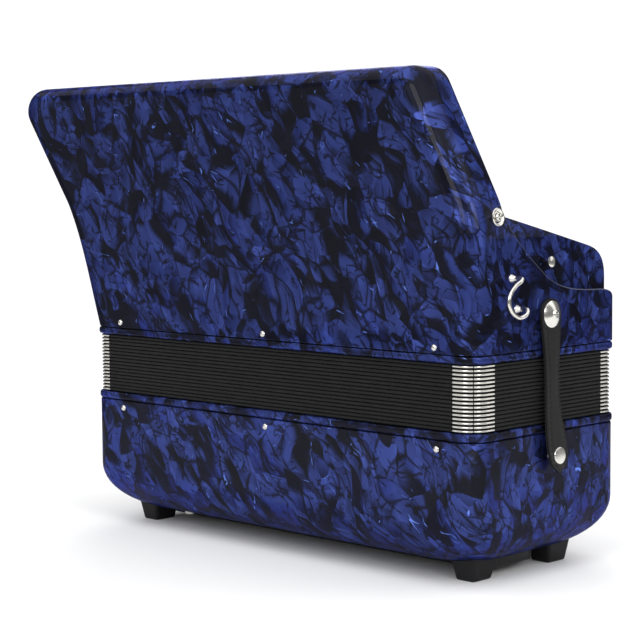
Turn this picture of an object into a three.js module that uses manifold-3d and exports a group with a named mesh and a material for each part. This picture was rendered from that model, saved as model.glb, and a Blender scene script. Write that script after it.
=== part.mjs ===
// A full-size chromatic button accordion, closed and standing on its bass feet.
// +Z runs along the bellows towards the treble side, +Y faces the player, and the
// fingerboard leans towards +X. Lengths are millimetres.
import * as THREE from 'three';
import { mergeVertices } from 'three/addons/utils/BufferGeometryUtils.js';
import Module from 'manifold-3d';

const wasm = await Module();
wasm.setup();

// ---- driving dimensions ------------------------------------------------------------
const BODY_HALF_WIDTH = 237.5;
const BODY_HALF_DEPTH = 97.5;
const CORNER_RADIUS = 20;
const WALL = 6;
const FIT_GAP = 0.4;
const COVER_GAP = 1.3;

const FOOT_HEIGHT = 14;
const BASS_TOP = 119.2;
const BASS_EDGE_RADIUS = 42;
const FRAME_PROUD = 0.8;
const BASS_FRAME = { low: 119.8, high: 126.6 };
const TREBLE_FRAME = { low: 181.4, high: 187.7 };
const TREBLE_BOTTOM = 188.2;
const FINGERBOARD_TOP = 417.5;
const FINGERBOARD_FRONT_Y = 58;
const FRONT_WALL_TOP = 233.6;

const FOLD_COUNT = 17;
const FOLD_PITCH = 3.2;
const FOLD_THICKNESS = 2.9;
const FOLD_FIRST_LOW = 126.9;
const FOLD_INSET = 2;
const FOLD_DEPTH = 17.3;

const TREBLE_ROWS = 5;
const TREBLE_PER_ROW = 21;
const TREBLE_PITCH = 20;
const TREBLE_ROW_PITCH = 18.4;
const TREBLE_ROW_STEP = 11;
const TREBLE_FIRST_ROW = { x: 20, z: 318 };
const TREBLE_BUTTON_RADIUS = 7.3;
const TREBLE_TRAVEL = 4;
const BOARD = { frontY: 59.5, thickness: 4, low: 300 };

const BASS_ROWS = 6;
const BASS_PER_ROW = 20;
const BASS_PITCH = 17;
const BASS_ROW_PITCH = 9.7;
const BASS_ROW_STEP = 4;
const BASS_FIRST_ROW_Y = -22.4;
const BASS_BUTTON_RADIUS = 3.4;
const BASS_TRAVEL = 4;
const BASS_STAND = 9.5;
const BASS_WELL = { halfX: 182, lowY: -75.5, highY: -17.5, rimZ: 31.7 };
const BASS_PLATE_THICKNESS = 3;
const SLOT_CLEARANCE = 0.6;

// The removable cover over the treble action, in (y, z), and the openings in it.
const COVER = { rearY: 57.4, rearZ: 298.2, shoulderY: -60, shoulderZ: 270.4, frontY: -84, low: 208, shell: 3 };
// The foot turned out along the cover's front edge. It stops short of the casing's round corners.
const COVER_FOOT = { y: -90.5, topZ: 212, endGap: 11 };
const COVER_SLOPE = Math.atan2(COVER.rearZ - COVER.shoulderZ, COVER.rearY - COVER.shoulderY);
const GRILLE = { count: 11, pitch: 36, firstX: -172, halfWidth: 13, y: -14, low: -29, high: 27 };
const SWITCH_COUNT = 4;
const SWITCH = { width: 34, depth: 13, thickness: 5, y: 42, pitch: 48, firstX: -60 };

const SOUNDBOARD = { bass: [108, 113], treble: [193, 198], slotPitch: 32, slotHalf: 8 };
const REED_BLOCK = { halfX: 190, halfY: 17, web: 6, wall: 5, chamberPitch: 33, chamberHalf: 12 };
const CHAMBERS_EACH_SIDE = 5;

const HAND_STRAP = { y: 9, width: 49, endX: 207, low: 4.6, thickness: 2.6 };
const STRAP_WHEEL = { z: 62, radius: 11, shaft: 3, inner: -16, gap: 1, outer: 9 };
const FOOT = { x: 197, y: 50, top: { x: 13, y: 15.5 }, bottom: { x: 10, y: 12 } };
const AIR_BUTTON = { x: 150, y: 52, radius: 5, low: 9.5 };
const CLOSING_STRAP = { y: 4, pivotZ: 216.4, hingeZ: 198.6, snapZ: 98.9, tipZ: 85.5, thickness: 3.6 };
const STRAP_LOOP = { wire: 2.2, reach: 12.5, topY: 51.2, topZ: 247.6, lowY: 44.8, lowZ: 222.2 };

// Both ends have the same fittings. An end says where its wall is, where the middle of
// its closing strap is, and how many degrees the strap leans.
const ENDS = [
  { name: 'near', side: -1, wallX: BODY_HALF_WIDTH, strapX: 242.9, lean: 3 },
  { name: 'far', side: 1, wallX: 246.2, strapX: 253.6, lean: 3.6 },
];

// ---- colours -----------------------------------------------------------------------
const finish = (color, roughness, metalness) =>
  new THREE.MeshStandardMaterial({ color, roughness, metalness });
const PEARL = finish(0x26357a, 0.18, 0.1);
const CHROME = finish(0xd4d4d2, 0.15, 1);
const CLOTH = finish(0x17171a, 0.75, 0);
const LEATHER = finish(0x1b1b1c, 0.5, 0);
const RUBBER = finish(0x202022, 0.65, 0);
const BOARD_BLACK = finish(0x121214, 0.35, 0);
const BUTTON_WHITE = finish(0xeeece4, 0.2, 0);
const SPRUCE = finish(0xc9a468, 0.6, 0);

// ---- solids ------------------------------------------------------------------------
function toSolid(geometry) {
  const bare = geometry.index ? geometry.toNonIndexed() : geometry.clone();
  bare.deleteAttribute('normal');
  bare.deleteAttribute('uv');
  const merged = mergeVertices(bare, 1e-4);
  return new wasm.Manifold(new wasm.Mesh({
    numProp: 3,
    vertProperties: new Float32Array(merged.attributes.position.array),
    triVerts: new Uint32Array(merged.index.array),
  }));
}

function toGeometry(solid) {
  const mesh = solid.getMesh();
  const geometry = new THREE.BufferGeometry();
  geometry.setAttribute('position', new THREE.BufferAttribute(new Float32Array(mesh.vertProperties), 3));
  geometry.setIndex(new THREE.BufferAttribute(new Uint32Array(mesh.triVerts), 1));
  geometry.computeVertexNormals();
  return geometry;
}

const join = (...solids) => solids.reduce((whole, next) => whole.add(next));
const cut = (whole, ...tools) => tools.reduce((rest, tool) => rest.subtract(tool), whole);

function boxSolid(low, high) {
  const box = new THREE.BoxGeometry(high[0] - low[0], high[1] - low[1], high[2] - low[2]);
  box.translate((low[0] + high[0]) / 2, (low[1] + high[1]) / 2, (low[2] + high[2]) / 2);
  return toSolid(box);
}

// A cylinder or cone whose axis is x, y or z, from `from` to `to` along that axis.
function roundSolid(axis, center, from, to, radius, sides, endRadius = radius) {
  const geometry = new THREE.CylinderGeometry(endRadius, radius, to - from, sides);
  geometry.translate(0, (from + to) / 2, 0);
  if (axis === 'x') geometry.rotateZ(-Math.PI / 2);
  if (axis === 'z') geometry.rotateX(Math.PI / 2);
  geometry.translate(...center);
  return toSolid(geometry);
}

// An outline in plan, extruded upwards.
function upwards(shape, low, high, curveSegments) {
  const geometry = new THREE.ExtrudeGeometry(shape, { depth: high - low, bevelEnabled: false, curveSegments });
  geometry.translate(0, 0, low);
  return toSolid(geometry);
}

// An outline in (x, z), extruded along Y. `inset` moves it inwards, and `round`
// rounds its edges on the front and back.
function alongY(shape, low, high, { inset = 0, round = 0, segments = 1, curveSegments = 8 } = {}) {
  const bevelled = inset > 0 || round > 0;
  const thickness = round > 0 ? round : 0.01;
  const geometry = new THREE.ExtrudeGeometry(shape, {
    depth: high - low - (bevelled ? 2 * thickness : 0),
    bevelEnabled: bevelled,
    bevelThickness: thickness,
    bevelSize: round,
    bevelOffset: -(inset + round),
    bevelSegments: segments,
    curveSegments,
  });
  geometry.translate(0, 0, bevelled ? thickness : 0);
  geometry.rotateX(Math.PI / 2);
  geometry.translate(0, high, 0);
  return toSolid(geometry);
}

// An outline in (y, z), extruded along X.
function alongX(shape, low, high, curveSegments = 8) {
  const geometry = new THREE.ExtrudeGeometry(shape, { depth: high - low, bevelEnabled: false, curveSegments });
  geometry.rotateX(Math.PI / 2);
  geometry.rotateZ(Math.PI / 2);
  geometry.translate(low, 0, 0);
  return toSolid(geometry);
}

// ---- outlines ----------------------------------------------------------------------
function roundedRect(halfX, halfY, radius) {
  const shape = new THREE.Shape();
  const x = halfX - radius;
  const y = halfY - radius;
  shape.absarc(x, y, radius, 0, Math.PI / 2);
  shape.absarc(-x, y, radius, Math.PI / 2, Math.PI);
  shape.absarc(-x, -y, radius, Math.PI, 1.5 * Math.PI);
  shape.absarc(x, -y, radius, 1.5 * Math.PI, 2 * Math.PI);
  shape.closePath();
  return shape;
}

// A line towards `corner`, then an arc of the given radius that turns it towards `next`.
function turnCorner(shape, corner, next, radius) {
  const end = new THREE.Vector2(...corner);
  const arriving = shape.currentPoint.clone().sub(end).normalize();
  const leaving = new THREE.Vector2(...next).sub(end).normalize();
  const half = Math.acos(arriving.dot(leaving)) / 2;
  const tangent = radius / Math.tan(half);
  const handle = (4 / 3) * Math.tan((Math.PI / 2 - half) / 2) * radius;
  const along = (direction, distance) => end.clone().addScaledVector(direction, distance);
  const start = along(arriving, tangent);
  const stop = along(leaving, tangent);
  const first = along(arriving, tangent - handle);
  const second = along(leaving, tangent - handle);
  shape.lineTo(start.x, start.y);
  shape.bezierCurveTo(first.x, first.y, second.x, second.y, stop.x, stop.y);
}

// The treble side seen from the player: straight near the bellows, then leaning
// towards +X on the way up to the top of the fingerboard.
function trebleOutline() {
  const low = TREBLE_BOTTOM - 60;
  const top = FINGERBOARD_TOP;
  const farCorner = [365.4, top];
  const nearCorner = [-173, top];
  const nearFoot = [-228.5, 313];
  const shape = new THREE.Shape();
  shape.moveTo(-BODY_HALF_WIDTH, low);
  shape.lineTo(BODY_HALF_WIDTH - 3, low);
  shape.lineTo(BODY_HALF_WIDTH - 1, TREBLE_BOTTOM);
  shape.bezierCurveTo(250, 226, 260, 266, 281.8, 302);
  turnCorner(shape, farCorner, nearCorner, 22);
  turnCorner(shape, nearCorner, nearFoot, 24);
  shape.lineTo(...nearFoot);
  shape.bezierCurveTo(-234.5, 301.7, -BODY_HALF_WIDTH, 291, -BODY_HALF_WIDTH, 265);
  shape.closePath();
  return shape;
}

// The treble side seen from its end: the player's panel at +Y, and an end wall that
// sweeps down from the fingerboard to the low front wall.
function trebleEndProfile() {
  const backY = BODY_HALF_DEPTH + 10;
  const frontY = -BODY_HALF_DEPTH - 10;
  const shape = new THREE.Shape();
  shape.moveTo(backY, TREBLE_BOTTOM);
  shape.lineTo(backY, FINGERBOARD_TOP + 10);
  shape.lineTo(FINGERBOARD_FRONT_Y, FINGERBOARD_TOP + 10);
  shape.lineTo(FINGERBOARD_FRONT_Y, 300);
  shape.bezierCurveTo(52, 284, 38, 271, 14, 253.5);
  shape.bezierCurveTo(-3, 240, -20, 235.3, -52, FRONT_WALL_TOP + 0.4);
  shape.lineTo(-68, FRONT_WALL_TOP);
  shape.bezierCurveTo(-84, FRONT_WALL_TOP - 0.3, -BODY_HALF_DEPTH, 226, -BODY_HALF_DEPTH, 212);
  shape.lineTo(frontY, 212);
  shape.lineTo(frontY, TREBLE_BOTTOM);
  shape.closePath();
  return shape;
}

// ---- bass side ---------------------------------------------------------------------
// A closed body lofted through rounded rectangles that shrink towards the bottom.
function tubSolid(rings) {
  const points = rings.map(({ halfX, halfY, radius, z, sides }) => {
    const outline = roundedRect(halfX, halfY, radius).getPoints(sides).slice(0, -1);
    return outline.map((p) => new THREE.Vector3(p.x, p.y, z));
  });
  const count = points[0].length;
  const positions = points.flat().flatMap((p) => [p.x, p.y, p.z]);
  const index = [];
  for (let ring = 0; ring < rings.length - 1; ring += 1) {
    for (let i = 0; i < count; i += 1) {
      const a = ring * count + i;
      const b = ring * count + ((i + 1) % count);
      index.push(a, b, b + count, a, b + count, a + count);
    }
  }
  const cap = points[0].map((p) => new THREE.Vector2(p.x, p.y));
  const top = (rings.length - 1) * count;
  for (const [a, b, c] of THREE.ShapeUtils.triangulateShape(cap, [])) {
    index.push(a, c, b, top + a, top + b, top + c);
  }
  const geometry = new THREE.BufferGeometry();
  geometry.setAttribute('position', new THREE.Float32BufferAttribute(positions, 3));
  geometry.setIndex(index);
  return toSolid(geometry);
}

// How far the rounded bottom edge has drawn in at a height above the lowest face.
function edgeDraw(height) {
  const left = Math.max(0, BASS_EDGE_RADIUS - height);
  return BASS_EDGE_RADIUS - Math.sqrt(BASS_EDGE_RADIUS ** 2 - left ** 2);
}

function bassTub(inset, lift, steps, sides) {
  const ring = (height, z) => {
    const draw = edgeDraw(height);
    return {
      halfX: BODY_HALF_WIDTH - inset - draw,
      halfY: BODY_HALF_DEPTH - inset - draw,
      radius: CORNER_RADIUS - inset * 0.8 + draw * 0.55,
      z,
      sides,
    };
  };
  const rings = [];
  for (let i = 0; i <= steps; i += 1) {
    const angle = (i / steps) * (Math.PI / 2);
    const height = BASS_EDGE_RADIUS * (1 - Math.cos(angle));
    rings.push(ring(height, FOOT_HEIGHT + lift + height));
  }
  rings.push(ring(BASS_EDGE_RADIUS, BASS_TOP + (inset > 0 ? 10 : 0)));
  return tubSolid(rings);
}

function bassCasing() {
  const outside = bassTub(0, 0, 7, 6);
  const cavity = bassTub(WALL, WALL, 4, 4);
  const { halfX, lowY, highY, rimZ } = BASS_WELL;
  const rim = 5;
  const well = boxSolid([-halfX - rim, lowY - rim, FOOT_HEIGHT], [halfX + rim, highY + rim, rimZ]);
  const opening = boxSolid([-halfX, lowY, 0], [halfX, highY, rimZ + 10]);
  const airHole = roundSolid('z', [AIR_BUTTON.x, AIR_BUTTON.y, 0], 5, 40, AIR_BUTTON.radius + FIT_GAP, 12);
  const wheelSpot = [0, HAND_STRAP.y, STRAP_WHEEL.z];
  const wheelHole = roundSolid('x', wheelSpot, 200, 260, STRAP_WHEEL.shaft + SLOT_CLEARANCE, 10);
  return cut(join(cut(outside, cavity), well.intersect(outside)), opening, airHole, wheelHole);
}

function bassButtonPlate() {
  const { halfX, lowY, highY, rimZ } = BASS_WELL;
  const low = rimZ + 0.3;
  const plate = boxSolid([-halfX - 4, lowY - 2, low], [halfX + 4, highY + 3, low + BASS_PLATE_THICKNESS]);
  const slots = [];
  for (let row = 0; row < BASS_ROWS; row += 1) {
    const y = bassRowY(row);
    const x = bassRowX(row);
    const reach = ((BASS_PER_ROW - 1) * BASS_PITCH) / 2 + 4;
    slots.push(boxSolid([x - reach, y - 3.8, low - 1], [x + reach, y + 3.8, low + 5]));
  }
  return cut(plate, ...slots);
}

const bassRowY = (row) => BASS_FIRST_ROW_Y - row * BASS_ROW_PITCH;
const bassRowX = (row) => (row - (BASS_ROWS - 1) / 2) * BASS_ROW_STEP;

// One row of bass buttons, standing like the teeth of a comb on the bar that
// carries them through the plate.
function bassButtonRow(row) {
  const plateLow = BASS_WELL.rimZ + 0.3;
  const shoulder = plateLow - BASS_TRAVEL - SLOT_CLEARANCE;
  const x = bassRowX(row);
  const y = bassRowY(row);
  const reach = ((BASS_PER_ROW - 1) * BASS_PITCH) / 2;
  const half = BASS_BUTTON_RADIUS;
  const comb = new THREE.Shape();
  comb.moveTo(x + reach + half, plateLow + 7);
  comb.lineTo(x - reach - half, plateLow + 7);
  for (let i = 0; i < BASS_PER_ROW; i += 1) {
    const middle = x - reach + i * BASS_PITCH;
    if (i > 0) comb.lineTo(middle - half, shoulder);
    comb.lineTo(middle - half, shoulder - BASS_STAND);
    comb.lineTo(middle + half, shoulder - BASS_STAND);
    if (i < BASS_PER_ROW - 1) comb.lineTo(middle + half, shoulder);
  }
  comb.closePath();
  return alongY(comb, y - half, y + half);
}

function foot(signX, signY) {
  const { top, bottom } = FOOT;
  const rings = [
    { halfX: bottom.x - 1.2, halfY: bottom.y - 1.2, radius: 2.6, z: 0, sides: 2 },
    { halfX: bottom.x, halfY: bottom.y, radius: 3, z: 1.2, sides: 2 },
    { halfX: top.x, halfY: top.y, radius: 3.5, z: FOOT_HEIGHT + 6, sides: 2 },
  ];
  const block = tubSolid(rings).translate([signX * FOOT.x, signY * FOOT.y, 0]);
  return cut(block, bassTub(-0.3, -0.3, 7, 6));
}

function handStrap() {
  const { endX, y, width, low, thickness } = HAND_STRAP;
  const arch = new THREE.Shape();
  const outer = FOOT_HEIGHT - FIT_GAP;
  arch.moveTo(-endX, outer);
  arch.lineTo(-endX, outer - 4);
  arch.bezierCurveTo(-endX, low, -endX + 10, low, -endX + 26, low);
  arch.lineTo(endX - 26, low);
  arch.bezierCurveTo(endX - 10, low, endX, low, endX, outer - 4);
  arch.lineTo(endX, outer);
  arch.lineTo(endX - thickness * 2.6, outer);
  arch.bezierCurveTo(endX - 10, low + thickness, endX - 20, low + thickness, endX - 30, low + thickness);
  arch.lineTo(-endX + 30, low + thickness);
  arch.bezierCurveTo(-endX + 20, low + thickness, -endX + 10, low + thickness, -endX + thickness * 2.6, outer);
  arch.closePath();
  return alongY(arch, y - width / 2, y + width / 2, { curveSegments: 5 }).subtract(bassTub(-0.3, -0.3, 7, 6));
}

function strapWheel() {
  const { z, radius, shaft: shaftRadius, inner, gap, outer } = STRAP_WHEEL;
  const center = [0, HAND_STRAP.y, z];
  const grip = roundSolid('x', center, BODY_HALF_WIDTH + gap, BODY_HALF_WIDTH + outer, radius, 20);
  const shaft = roundSolid('x', center, BODY_HALF_WIDTH + inner, BODY_HALF_WIDTH + gap + 1, shaftRadius, 10);
  return join(grip, shaft);
}

function airButton() {
  const { x, y, radius, low } = AIR_BUTTON;
  const stem = roundSolid('z', [x, y, 0], low, FOOT_HEIGHT + WALL + 4, radius, 12);
  const collar = roundSolid('z', [x, y, 0], FOOT_HEIGHT + WALL + 3, FOOT_HEIGHT + WALL + 5, radius + 2, 12);
  return join(stem, collar);
}

function soundboard([low, high]) {
  const plate = upwards(roundedRect(BODY_HALF_WIDTH - WALL - 1, BODY_HALF_DEPTH - WALL - 1, 12), low, high, 3);
  const slots = [];
  const { slotPitch, slotHalf } = SOUNDBOARD;
  for (let i = -CHAMBERS_EACH_SIDE; i <= CHAMBERS_EACH_SIDE; i += 1) {
    const x = i * slotPitch;
    slots.push(boxSolid([x - slotHalf, -6, low - 1], [x + slotHalf, 6, high + 1]));
  }
  return cut(plate, ...slots);
}

function reedBlock(centerY, low, high) {
  const { halfX, halfY, web, wall, chamberPitch, chamberHalf } = REED_BLOCK;
  const block = boxSolid([-halfX, centerY - halfY, low], [halfX, centerY + halfY, high]);
  const chambers = [];
  for (let i = -CHAMBERS_EACH_SIDE; i <= CHAMBERS_EACH_SIDE; i += 1) {
    const [left, right] = [i * chamberPitch - chamberHalf, i * chamberPitch + chamberHalf];
    for (const [front, back] of [[web, halfY + 1], [-halfY - 1, -web]]) {
      chambers.push(boxSolid([left, centerY + front, low + wall], [right, centerY + back, high - wall]));
    }
  }
  return cut(block, ...chambers);
}

// ---- bellows -----------------------------------------------------------------------
function ringSolid(halfX, halfY, radius, depth, low, high, sides) {
  const shape = roundedRect(halfX, halfY, radius);
  const innerX = halfX - depth;
  const innerY = halfY - depth;
  const corners = [[innerX, innerY], [innerX, -innerY], [-innerX, -innerY], [-innerX, innerY]];
  shape.holes.push(new THREE.Path(corners.map(([x, y]) => new THREE.Vector2(x, y))));
  return upwards(shape, low, high, sides);
}

function bellowsFrame({ low, high }) {
  return ringSolid(BODY_HALF_WIDTH + FRAME_PROUD, BODY_HALF_DEPTH + FRAME_PROUD, CORNER_RADIUS + FRAME_PROUD,
    FOLD_DEPTH + FOLD_INSET + FRAME_PROUD, low, high, 5);
}

function bellowsFold(index) {
  const low = FOLD_FIRST_LOW + index * FOLD_PITCH;
  return ringSolid(BODY_HALF_WIDTH - FOLD_INSET, BODY_HALF_DEPTH - FOLD_INSET, CORNER_RADIUS - FOLD_INSET,
    FOLD_DEPTH, low, low + FOLD_THICKNESS, 3);
}

// ---- treble side -------------------------------------------------------------------
function trebleCasing() {
  const outline = trebleOutline();
  const outside = alongY(outline, -BODY_HALF_DEPTH, BODY_HALF_DEPTH, {
    round: 18, segments: 6, curveSegments: 7,
  });
  const ends = alongX(trebleEndProfile(), -260, 380, 7);
  const hollow = alongY(outline, -BODY_HALF_DEPTH + WALL, BODY_HALF_DEPTH - WALL, {
    inset: WALL, round: 10, segments: 2, curveSegments: 4,
  });
  return cut(outside.intersect(ends), hollow);
}

const trebleRowZ = (row) => TREBLE_FIRST_ROW.z + row * TREBLE_ROW_PITCH;
const trebleRowX = (row) => TREBLE_FIRST_ROW.x + row * TREBLE_ROW_STEP;

function buttonBoard() {
  const backY = BOARD.frontY + BOARD.thickness;
  const face = alongY(trebleOutline(), BOARD.frontY, backY, { inset: WALL + FIT_GAP, curveSegments: 4 });
  const above = boxSolid([-400, 0, BOARD.low], [400, 200, 500]);
  const slots = [];
  for (let row = 0; row < TREBLE_ROWS; row += 1) {
    const reach = ((TREBLE_PER_ROW - 1) * TREBLE_PITCH) / 2 + 5;
    const x = trebleRowX(row);
    const z = trebleRowZ(row);
    slots.push(boxSolid([x - reach, BOARD.frontY - 2, z - 3.6], [x + reach, backY + 2, z + 3.6]));
  }
  return cut(face.intersect(above), ...slots);
}

// One row of treble buttons on the bar that carries them through the board.
function trebleButtonRow(row) {
  const shoulderY = BOARD.frontY - TREBLE_TRAVEL - SLOT_CLEARANCE;
  const x = trebleRowX(row);
  const z = trebleRowZ(row);
  const reach = ((TREBLE_PER_ROW - 1) * TREBLE_PITCH) / 2;
  const bar = boxSolid([x - reach - 3, shoulderY - 1, z - 3], [x + reach + 3, BOARD.frontY + 10, z + 3]);
  const buttons = [];
  for (let i = 0; i < TREBLE_PER_ROW; i += 1) {
    const place = [x - reach + i * TREBLE_PITCH, 0, z];
    buttons.push(roundSolid('y', place, shoulderY - 5, shoulderY, TREBLE_BUTTON_RADIUS, 6));
  }
  return join(bar, ...buttons);
}

// The cover's outline from its end, or the outline of the space inside it.
function coverProfile(inset) {
  const beyond = inset > 0 ? 20 : 0;
  const slope = Math.tan(COVER_SLOPE);
  const shape = new THREE.Shape();
  shape.moveTo(COVER.rearY + beyond, COVER.low - beyond);
  shape.lineTo(COVER.rearY + beyond, COVER.rearZ - inset + beyond * slope);
  shape.lineTo(COVER.shoulderY, COVER.shoulderZ - inset);
  shape.bezierCurveTo(COVER.shoulderY - 14, COVER.shoulderZ - 3.5 - inset,
    COVER.frontY + inset, COVER.shoulderZ - 9, COVER.frontY + inset, COVER.shoulderZ - 28);
  if (inset === 0) {
    shape.lineTo(COVER.frontY, COVER_FOOT.topZ);
    shape.lineTo(COVER_FOOT.y, COVER_FOOT.topZ);
    shape.lineTo(COVER_FOOT.y, COVER.low);
  } else {
    shape.lineTo(COVER.frontY + inset, COVER.low - beyond);
  }
  shape.closePath();
  return shape;
}

const coverTopZ = (y) => COVER.shoulderZ + (y - COVER.shoulderY) * Math.tan(COVER_SLOPE);
const switchX = (index) => SWITCH.firstX + index * SWITCH.pitch;

function tilted(solid, y) {
  const degrees = THREE.MathUtils.radToDeg(COVER_SLOPE);
  return solid.rotate([degrees, 0, 0]).translate([0, y, coverTopZ(y)]);
}

function grilleCover() {
  const outline = trebleOutline();
  const outside = alongX(coverProfile(0), -260, 380, 6)
    .intersect(alongY(outline, -100, 90, { inset: WALL + COVER_GAP, curveSegments: 5 }));
  const inside = alongX(coverProfile(COVER.shell), -260, 380, 6)
    .intersect(alongY(outline, -100, 100, { inset: WALL + COVER_GAP + COVER.shell, curveSegments: 5 }));
  const openings = [];
  for (let i = 0; i < GRILLE.count; i += 1) {
    const x = GRILLE.firstX + i * GRILLE.pitch;
    const [left, right] = [x - GRILLE.halfWidth, x + GRILLE.halfWidth];
    openings.push(tilted(boxSolid([left, GRILLE.low, -8], [right, GRILLE.high, 8]), GRILLE.y));
  }
  for (let i = 0; i < SWITCH_COUNT; i += 1) {
    const x = switchX(i);
    const half = { x: SWITCH.width / 2 + 0.8, y: SWITCH.depth / 2 + 1.1 };
    openings.push(tilted(boxSolid([x - half.x, -half.y, -8], [x + half.x, half.y, 8]), SWITCH.y));
  }
  const footEnd = BODY_HALF_WIDTH - WALL - COVER_FOOT.endGap;
  const corners = [-1, 1].map((side) => boxSolid(
    [side < 0 ? -260 : footEnd, -100, COVER.low - 5], [side < 0 ? -footEnd : 260, COVER.frontY, COVER_FOOT.topZ + 5]));
  return cut(outside, inside, ...openings, ...corners);
}

function registerSwitch(index) {
  const x = switchX(index);
  const half = { x: SWITCH.width / 2, y: SWITCH.depth / 2 };
  const tab = boxSolid([x - half.x, -half.y, -1.5], [x + half.x, half.y, SWITCH.thickness - 1.5]);
  const lever = boxSolid([x - 4, -2, -9], [x + 4, 2, 0]);
  return tilted(join(tab, lever), SWITCH.y);
}

// ---- straps and fittings -----------------------------------------------------------
// The flat outline of a closing strap in (y, z), above or below its flex line.
function strapShape(part) {
  const { y, pivotZ, hingeZ, snapZ, tipZ } = CLOSING_STRAP;
  const shape = new THREE.Shape();
  if (part === 'head') {
    shape.moveTo(y - 12, hingeZ + 0.5);
    shape.lineTo(y + 12, hingeZ + 0.5);
    shape.lineTo(y + 13, pivotZ);
    shape.absarc(y, pivotZ, 13, 0, Math.PI);
    shape.closePath();
    return shape;
  }
  shape.moveTo(y - 12, hingeZ - 0.5);
  shape.bezierCurveTo(y - 10.5, hingeZ - 20, y - 10, 160, y - 10, 146);
  shape.bezierCurveTo(y - 10, 130, y - 13.5, 122, y - 13.5, 112);
  shape.bezierCurveTo(y - 13.5, snapZ, y - 6, tipZ + 3, y, tipZ);
  shape.bezierCurveTo(y + 6, tipZ + 3, y + 13.5, snapZ, y + 13.5, 112);
  shape.bezierCurveTo(y + 13.5, 122, y + 10, 130, y + 10, 146);
  shape.bezierCurveTo(y + 10, 160, y + 10.5, hingeZ - 20, y + 12, hingeZ - 0.5);
  shape.closePath();
  return shape;
}

function leaned(solid, end, pivotZ) {
  return solid.translate([0, 0, -pivotZ]).rotate([0, end.lean, 0]).translate([0, 0, pivotZ]);
}

function strapPiece(end, part) {
  const half = CLOSING_STRAP.thickness / 2;
  const plate = alongX(strapShape(part), -half, half, 4);
  const hole = roundSolid('x', [0, CLOSING_STRAP.y, CLOSING_STRAP.pivotZ], -9, 9, 3.4, 12);
  const body = part === 'head' ? cut(plate, hole) : leaned(plate, end, CLOSING_STRAP.hingeZ);
  return body.translate([end.side * end.strapX, 0, 0]);
}

function strapScrew(end) {
  const { y, pivotZ, thickness } = CLOSING_STRAP;
  const out = (from, to, radius, sides, endRadius) => {
    const [low, high] = end.side > 0 ? [from, to] : [-to, -from];
    const radii = end.side > 0 ? [radius, endRadius ?? radius] : [endRadius ?? radius, radius];
    return roundSolid('x', [0, y, pivotZ], low, high, radii[0], sides, radii[1]);
  };
  const face = end.strapX + thickness / 2;
  const start = end.side > 0 ? end.wallX + 2.6 : end.wallX + 0.3;
  return join(out(start, face + 1, 2.9, 12), out(face + 0.4, face + 3.4, 10.9, 24, 8.2));
}

function snapStud(end) {
  const { y, hingeZ, snapZ, thickness } = CLOSING_STRAP;
  const shift = Math.tan(THREE.MathUtils.degToRad(end.lean * end.side)) * (hingeZ - snapZ);
  const under = end.strapX - shift - thickness / 2;
  const [low, high] = [BODY_HALF_WIDTH + 0.3, under - 0.8];
  const post = end.side > 0 ? [low, high] : [-high, -low];
  return roundSolid('x', [0, y, snapZ], post[0], post[1], 4, 12);
}

// A bent wire loop for the shoulder strap: two legs out of the wall, and a bow.
function strapLoop(end) {
  const { wire, reach, topY, topZ, lowY, lowZ } = STRAP_LOOP;
  const root = (z) => end.side * (end.wallX + 0.4 + (end.side > 0 ? (z - CLOSING_STRAP.pivotZ) * 0.32 + 3 : 0));
  const outX = end.side * (end.wallX + reach + (end.side > 0 ? 9 : 0));
  const points = [
    [root(topZ), topY, topZ],
    [outX - end.side * 3, topY, topZ],
    [outX, topY + 2, topZ - 0.4],
    [outX, topY + 12, topZ - 6],
    [outX, topY + 15, topZ - 16],
    [outX, topY + 10, topZ - 28],
    [outX, lowY + 8, lowZ - 6],
    [outX, lowY + 1, lowZ - 3.5],
    [outX - end.side * 3, lowY, lowZ],
    [root(lowZ), lowY, lowZ],
  ].map((p) => new THREE.Vector3(...p));
  const section = new THREE.Shape();
  section.absarc(0, 0, wire, 0, 2 * Math.PI);
  const bow = new THREE.ExtrudeGeometry(section, {
    extrudePath: new THREE.CatmullRomCurve3(points, false, 'centripetal'),
    steps: 22,
    curveSegments: 3,
  });
  return toSolid(bow);
}

// ---- assembly ----------------------------------------------------------------------
const accordion = new THREE.Group();

function addPart(group, name, solid, material) {
  const mesh = new THREE.Mesh(toGeometry(solid), material);
  mesh.name = name;
  group.add(mesh);
}

const bass = new THREE.Group();
addPart(bass, 'bass_casing', bassCasing(), PEARL);
addPart(bass, 'bass_frame', bellowsFrame(BASS_FRAME), PEARL);
addPart(bass, 'bass_button_plate', bassButtonPlate(), BOARD_BLACK);
for (let row = 0; row < BASS_ROWS; row += 1) {
  addPart(bass, `bass_button_row_${row + 1}`, bassButtonRow(row), BUTTON_WHITE);
}
addPart(bass, 'bass_soundboard', soundboard(SOUNDBOARD.bass), SPRUCE);
addPart(bass, 'bass_reed_block', reedBlock(42, 113.4, 156), SPRUCE);
addPart(bass, 'foot_near_back', foot(-1, 1), RUBBER);
addPart(bass, 'foot_near_front', foot(-1, -1), RUBBER);
addPart(bass, 'foot_far_back', foot(1, 1), RUBBER);
addPart(bass, 'foot_far_front', foot(1, -1), RUBBER);
addPart(bass, 'hand_strap', handStrap(), LEATHER);
addPart(bass, 'strap_wheel', strapWheel(), CHROME);
addPart(bass, 'air_button', airButton(), BUTTON_WHITE);
accordion.add(bass);

const bellows = new THREE.Group();
for (let index = 0; index < FOLD_COUNT; index += 1) {
  addPart(bellows, `bellows_fold_${String(index + 1).padStart(2, '0')}`, bellowsFold(index), CLOTH);
}
accordion.add(bellows);

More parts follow.
